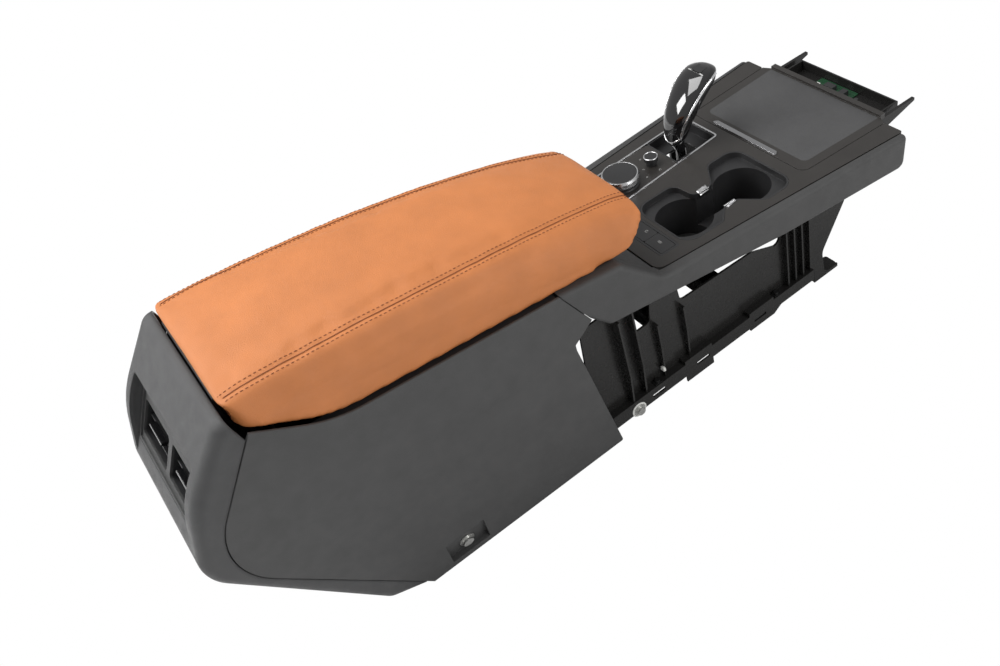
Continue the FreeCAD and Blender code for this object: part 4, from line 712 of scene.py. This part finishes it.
BLOCK_SIDES = 16
BLOCK_LEVELS = ((0.0, 1.0), (0.7, 1.0), (1.0, 0.82))
BLOCK_POWER = 0.75
CLIP_PLACES = (51.0 * MM, 131.0 * MM, 236.0 * MM)
CLIP_HEIGHT = 21.0 * MM
CLIP_SIZE = (30.0 * MM, 15.0 * MM, 1.8 * MM)
CLIP_SINK = 0.2 * MM
SLOT_SIDE = 17.0 * MM
RAIL_INSIDE = 60.0 * MM
WHITE_CLIP_AIM = Vector((0.1, 0.0659, 0.0563))
WHITE_CLIP_UP = Vector((0.0, 0.6, 0.8))
WHITE_CLIP_SIZE = (7.5 * MM, 7.5 * MM, 3.5 * MM)
WHITE_CLIP_SINK = 0.3 * MM
WASHER_SIDES = 40
WASHER_ROOM = 0.2 * MM
WASHER_WIDTH = 3.0 * MM
WASHER_BACK = 0.6 * MM
WASHER_EDGE = 0.4 * MM
WASHER_FACE = 0.9 * MM
WASHER_SLOPE = 0.6 * MM
RIGHT_SIDE = 50.0 * MM


def rounded_block(bm, centre, out, up, size):
    """A small moulded block with softened corners, standing on a face."""
    width, height, depth = size
    across = up.cross(out).normalized()
    up = out.cross(across).normalized()
    rings = []
    for level, share in BLOCK_LEVELS:
        loop = []
        for i in range(BLOCK_SIDES):
            a = TURN * i / BLOCK_SIDES + math.pi / BLOCK_SIDES
            c, s = math.cos(a), math.sin(a)
            reach = max(abs(c), abs(s)) ** BLOCK_POWER
            loop.append(centre + out * (depth * level) + across * (width * share * 0.5 * c / reach)
                        + up * (height * share * 0.5 * s / reach))
        rings.append(loop)
    tube(bm, rings)


def rail_clips():
    """Dark spring clips for the slots of the carrier's lower rails."""
    for side, name in ((1.0, "right"), (-1.0, "left")):
        surface = tree_of(nodes[name + "_side_frame"])
        outward = Vector((side, 0.0, 0.0))
        bm = bmesh.new()
        for y in CLIP_PLACES:
            start = Vector((side * RAIL_INSIDE, y + SLOT_SIDE, CLIP_HEIGHT))
            wall = surface.ray_cast(start, outward)[0].x
            place = Vector((wall + side * CLIP_SINK, y, CLIP_HEIGHT))
            rounded_block(bm, place, -outward, Vector((0.0, 0.0, 1.0)), CLIP_SIZE)
        bmesh.ops.recalc_face_normals(bm, faces=bm.faces)
        shaped("rail_clips_" + name, bm, "console", "black_plastic")


def white_clip():
    """A small white clip on the carrier's right wall, where the photo shows one."""
    surface = tree_of(nodes["right_side_frame"])
    spot, normal, face, gap = surface.ray_cast(EYE, (WHITE_CLIP_AIM - EYE).normalized())
    bm = bmesh.new()
    rounded_block(bm, spot - normal * WHITE_CLIP_SINK, normal, WHITE_CLIP_UP, WHITE_CLIP_SIZE)
    bmesh.ops.recalc_face_normals(bm, faces=bm.faces)
    shaped("white_clip", bm, "console", "white_plastic")


def islands(node):
    """The separate solids of a node, each as its list of points."""
    bm = bmesh.new()
    bm.from_mesh(nodes[node].data)
    bmesh.ops.remove_doubles(bm, verts=bm.verts, dist=WELD)
    seen = set()
    found = []
    for start in bm.verts:
        if start in seen:
            continue
        stack = [start]
        group = []
        seen.add(start)
        while stack:
            vertex = stack.pop()
            group.append(vertex.co.copy())
            for edge in vertex.link_edges:
                other = edge.other_vert(vertex)
                if other not in seen:
                    seen.add(other)
                    stack.append(other)
        found.append(group)
    bm.free()
    return found


def bolt_washers():
    """White rings under the heads of the bolts on the right side of the carrier."""
    bm = bmesh.new()
    for solid in islands("frame_bolts"):
        middle = sum(solid, Vector()) / len(solid)
        if middle.x < RIGHT_SIDE:
            continue
        radius = max(math.hypot(p.y - middle.y, p.z - middle.z) for p in solid)
        inner, outer = radius + WASHER_ROOM, radius + WASHER_WIDTH
        back = middle.x - WASHER_BACK
        face = middle.x + WASHER_FACE
        profile = [(inner, back), (outer, back), (outer, middle.x + WASHER_EDGE),
                   (outer - WASHER_SLOPE, face), (inner, face)]
        angles = [TURN * i / WASHER_SIDES for i in range(WASHER_SIDES)]
        hoop(bm, [[Vector((x, middle.y + r * math.cos(a), middle.z + r * math.sin(a))) for r, x in profile]
                  for a in angles])
    bmesh.ops.recalc_face_normals(bm, faces=bm.faces)
    shaped("bolt_washers", bm, "console", "white_plastic")


# The lever's grip: a paddle lofted through stations along its face, in the deck's frame, in millimetres.
# Each station has the face line's y and z, half the thickness and half the width.

LEVER_X = -66.0
LEVER_Y = 268.0
GRIP = [(-7.5, -40, 7.5, 7.5), (-7.5, -14, 7.5, 7.5), (-12, -2, 10, 9), (-18, 9, 13, 13.5),
        (-18, 25, 14.5, 17.5), (-13, 44, 15, 21), (-2, 62, 15, 24), (12, 78, 14, 26), (27, 89, 12.5, 26.5),
        (42, 95, 11, 25), (55, 95.5, 9, 20.5), (64, 92, 6, 13.5), (68.5, 87, 3, 6)]
LAST_STATION = len(GRIP) - 1.0
SLOPE_STEP = 0.15
SQUARE = 2.4
GRIP_RINGS = 72
GRIP_SIDES = 56

# The bright edge: its upper and lower stations, the angle of both sides, and the shares of its length where
# the first side ends and the second one starts.
EDGE_TOP = 10.2
EDGE_FOOT = 3.7
EDGE_DIP = 0.55
EDGE_ANGLE = 1.25
EDGE_DOWN = 0.4
EDGE_UP = 0.6
EDGE_STEPS = 90
EDGE_LIFT = 0.15
EDGE_RADIUS = 1.9 * MM
EDGE_SIDES = 10
EDGE_FLAT = 0.45

# The mirror face: its middle and half its length in stations, its half width as an angle, and the power of
# its outline.
FACE_MIDDLE = 7.35
FACE_HALF = 2.75
FACE_WIDE = 0.98
FACE_POWER = 2.6
FACE_TIP = 0.004
FACE_LIFT = 0.22
FACE_ROWS = 40
FACE_COLUMNS = 20

MARK_STATIONS = (8.62, 8.74)
MARK_ANGLES = (-0.5, -0.25, 0.0, 0.25, 0.5)
MARK_RAISE = 0.5


def smooth_at(table, value):
    """Catmull-Rom reading of a table of stations."""
    index = min(max(int(value), 0), len(table) - 2)
    t = min(max(value - index, 0.0), 1.0)
    a = table[max(index - 1, 0)]
    b, c = table[index], table[index + 1]
    d = table[min(index + 2, len(table) - 1)]
    result = []
    for p, q, r, w in zip(a, b, c, d):
        square = (2 * p - 5 * q + 4 * r - w) * t * t
        cube = (3 * q - p - 3 * r + w) * t ** 3
        result.append(0.5 * (2 * q + (r - p) * t + square + cube))
    return result


def grip_point(value, angle, lift=0.0):
    """A point of the grip: the angle runs round from the middle of its face."""
    y, z, thick, half = smooth_at(GRIP, value)
    before = smooth_at(GRIP, max(value - SLOPE_STEP, 0.0))
    after = smooth_at(GRIP, min(value + SLOPE_STEP, LAST_STATION))
    run = Vector((after[0] - before[0], after[1] - before[1])).normalized()
    out_y, out_z = -run.y, run.x
    c, s = math.cos(angle), math.sin(angle)
    deep = math.copysign(abs(c) ** (2.0 / SQUARE), c) * (thick + lift) - thick
    wide = math.copysign(abs(s) ** (2.0 / SQUARE), s) * (half + lift)
    return deck(LEVER_X + wide, LEVER_Y + y + out_y * deep, z + out_z * deep)


def lever_paddle():
    """The grip's body."""
    bm = bmesh.new()
    tube(bm, [[grip_point(LAST_STATION * i / GRIP_RINGS, TURN * j / GRIP_SIDES) for j in range(GRIP_SIDES)]
              for i in range(GRIP_RINGS + 1)])
    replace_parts(shaped("lever_paddle", bm, "lever", "gloss_black"), "shift_lever")


def edge_path():
    """Stations and angles of the bright edge: down one side, round the foot and up the other side."""
    rise = EDGE_TOP - EDGE_FOOT
    path = []
    for i in range(EDGE_STEPS + 1):
        t = i / EDGE_STEPS
        if t < EDGE_DOWN:
            path.append((EDGE_TOP - rise * t / EDGE_DOWN, EDGE_ANGLE))
        elif t <= EDGE_UP:
            turn = (t - EDGE_DOWN) / (EDGE_UP - EDGE_DOWN)
            station = EDGE_FOOT - EDGE_DIP * math.sin(math.pi * turn)
            path.append((station, EDGE_ANGLE - 2.0 * EDGE_ANGLE * turn))
        else:
            path.append((EDGE_FOOT + rise * (t - EDGE_UP) / EDGE_DOWN, -EDGE_ANGLE))
    return path


def lever_edge():
    """A flat bright strip round the face."""
    path = edge_path()
    line = []
    for value, angle in path:
        out = (grip_point(value, angle, 1.0) - grip_point(value, angle)).normalized()
        line.append((grip_point(value, angle, EDGE_LIFT), out))
    bm = bmesh.new()
    tube(bm, [ring(spot, heading(line, k, 1), out, EDGE_RADIUS, EDGE_SIDES, EDGE_FLAT)
              for k, (spot, out) in enumerate(line)])
    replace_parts(shaped("lever_bright_edge", bm, "lever", "chrome"), "lever_trim")


def lever_face():
    """The mirror face, and a short printed line on it."""
    rows = []
    for i in range(FACE_ROWS + 1):
        t = -1.0 + 2.0 * i / FACE_ROWS
        reach = FACE_WIDE * math.sqrt(max(0.0, 1.0 - abs(t) ** FACE_POWER)) + FACE_TIP
        station = FACE_MIDDLE + FACE_HALF * t
        rows.append([grip_point(station, reach * (-1.0 + 2.0 * j / FACE_COLUMNS), FACE_LIFT)
                     for j in range(FACE_COLUMNS + 1)])
    face = bmesh.new()
    sheet(face, rows, True)
    shaped("lever_face", face, "lever", "mirror_black")
    mark = bmesh.new()
    sheet(mark, [[grip_point(v, a, MARK_RAISE) for a in MARK_ANGLES] for v in MARK_STATIONS], False)
    shaped("lever_line", mark, "lever", "mark")


# Bright trim on the deck: the small knob's rim and the faces of the cup grips.

RIM_SIDES = 48
RIM_RADIUS = 0.9 * MM
RIM_ANGLES = (0.0, 1.05, 2.1, 3.14, 4.19, 5.24)
CROWN = 0.6 * MM

# A grip's face: places inward and up from the grip's inner top edge in millimetres, then the shares of its
# half length where it is cut and its size at each cut.
PLATE_PROFILE = ((-7.0, 0.9), (-6.4, 1.5), (0.2, -2.6), (0.6, -3.4), (0.2, -4.2), (-6.8, -0.6))
PLATE_CUTS = ((-1.0, 0.8), (-0.93, 0.97), (-0.8, 1.0), (0.8, 1.0), (0.93, 0.97), (1.0, 0.8))
PLATE_HALF = 10.0 * MM
PLATE_SHARE = 0.9


def knob_rim():
    """A bright rim round the small knob's top."""
    spots = [v.co for v in nodes["volume_knob"].data.vertices]
    top = max(p.dot(DECK_UP) for p in spots)
    crown = [p for p in spots if p.dot(DECK_UP) > top - CROWN]
    middle = sum(crown, Vector()) / len(crown)
    radius = max((p - middle).length for p in crown)
    side = Vector((1.0, 0.0, 0.0))
    fore = DECK_UP.cross(side)
    loops = []
    for i in range(RIM_SIDES):
        a = TURN * i / RIM_SIDES
        out = side * math.cos(a) + fore * math.sin(a)
        centre = middle + out * radius
        loops.append([centre + out * (RIM_RADIUS * math.cos(b)) + DECK_UP * (RIM_RADIUS * math.sin(b))
                      for b in RIM_ANGLES])
    bm = bmesh.new()
    hoop(bm, loops)
    shaped("volume_rim", bm, "volume", "chrome")


def grip_plates():
    """Bright sloping faces on the two grips at the neck of the cup holder."""
    solids = islands("cup_grips")
    middles = [sum(solid, Vector()) / len(solid) for solid in solids]
    centre = sum(middles, Vector()) / len(middles)
    bm = bmesh.new()
    for solid, middle in zip(solids, middles):
        inward = centre - middle
        inward = (inward - DECK_UP * inward.dot(DECK_UP)).normalized()
        along = DECK_UP.cross(inward)
        half = min(PLATE_HALF, PLATE_SHARE * max(abs((p - middle).dot(along)) for p in solid))
        top = max((p - middle).dot(DECK_UP) for p in solid)
        face = max((p - middle).dot(inward) for p in solid)
        loop = [middle + inward * (face + back * MM) + DECK_UP * (top + height * MM)
                for back, height in PLATE_PROFILE]
        core = sum(loop, Vector()) / len(loop)
        tube(bm, [[core + (spot - core) * size + along * half * place for spot in loop]
                  for place, size in PLATE_CUTS])
    bmesh.ops.recalc_face_normals(bm, faces=bm.faces)
    shaped("cup_grip_faces", bm, "console", "chrome")


rail_clips()
white_clip()
lever_paddle()
lever_edge()
lever_face()
knob_rim()
grip_plates()
bolt_washers()


# Camera, floor and light. The camera sees plain white round the object, which is lit by weaker light.

FLOOR_HALF = 9.0
FLOOR_LEVEL = -0.6 * MM
FLOOR_TONE = (0.8, 0.8, 0.8, 1.0)
AMBIENT = 0.46

lens = bpy.data.cameras.new("camera")
lens.lens = 36.0
lens.sensor_width = 36.0
lens.sensor_fit = "HORIZONTAL"
lens.clip_start = 0.02
camera = bpy.data.objects.new("camera", lens)
camera.matrix_world = Matrix(((0.55224, -0.50655, 0.66215, EYE.x),
                              (0.79767, 0.55196, -0.24301, EYE.y),
                              (-0.24239, 0.66238, 0.70887, EYE.z),
                              (0.0, 0.0, 0.0, 1.0)))
scene.collection.objects.link(camera)
scene.camera = camera


def shown_to_camera(tree, usual, shown, output):
    """Uses one shader for what the camera sees and another one for all other rays."""
    path = add(tree, "LightPath")
    choose = add(tree, "MixShader")
    tree.links.new(path.outputs["Is Camera Ray"], choose.inputs[0])
    tree.links.new(usual.outputs[0], choose.inputs[1])
    tree.links.new(shown.outputs[0], choose.inputs[2])
    tree.links.new(choose.outputs[0], output.inputs["Surface"])


floor_mesh = bpy.data.meshes.new("floor")
corners = [(x * FLOOR_HALF, y * FLOOR_HALF, FLOOR_LEVEL) for x, y in ((-1, -1), (1, -1), (1, 1), (-1, 1))]
floor_mesh.from_pydata(corners, [], [(0, 1, 2, 3)])
floor = bpy.data.objects.new("floor", floor_mesh)
scene.collection.objects.link(floor)
paper = bpy.data.materials.new("paper")
paper.use_nodes = True
tree = paper.node_tree
tree.nodes.clear()
matt = add(tree, "BsdfDiffuse", Color=FLOOR_TONE)
glow = add(tree, "Emission", Color=WHITE, Strength=1.0)
shown_to_camera(tree, matt, glow, add(tree, "OutputMaterial"))
floor_mesh.materials.append(paper)

world = bpy.data.worlds.new("studio")
world.use_nodes = True
tree = world.node_tree
ambient = tree.nodes["Background"]
ambient.inputs["Color"].default_value = WHITE
ambient.inputs["Strength"].default_value = AMBIENT
backdrop = add(tree, "Background", Color=WHITE, Strength=1.0)
shown_to_camera(tree, ambient, backdrop, tree.nodes["World Output"])
scene.world = world


def softbox(name, place, target, width, height, power):
    """A rectangular light aimed at a place, with sizes in metres and its power in watts."""
    data = bpy.data.lights.new(name, "AREA")
    data.shape = "RECTANGLE"
    data.size = width
    data.size_y = height
    data.energy = power
    lamp = bpy.data.objects.new(name, data)
    lamp.location = place
    lamp.rotation_euler = (Vector(target) - Vector(place)).to_track_quat("-Z", "Y").to_euler()
    scene.collection.objects.link(lamp)


softbox("key", (-0.7, -0.5, 2.3), (0.0, 0.0, 0.2), 1.6, 1.2, 34.0)
softbox("side", (1.9, 0.9, 1.3), (0.0, 0.1, 0.2), 1.4, 1.0, 20.0)
softbox("rear", (-1.1, -1.8, 1.7), (0.0, -0.4, 0.3), 1.2, 0.8, 34.0)

scene.view_settings.view_transform = "Standard"
scene.view_settings.look = "None"
scene.view_settings.exposure = 0.0
scene.view_settings.gamma = 1.0
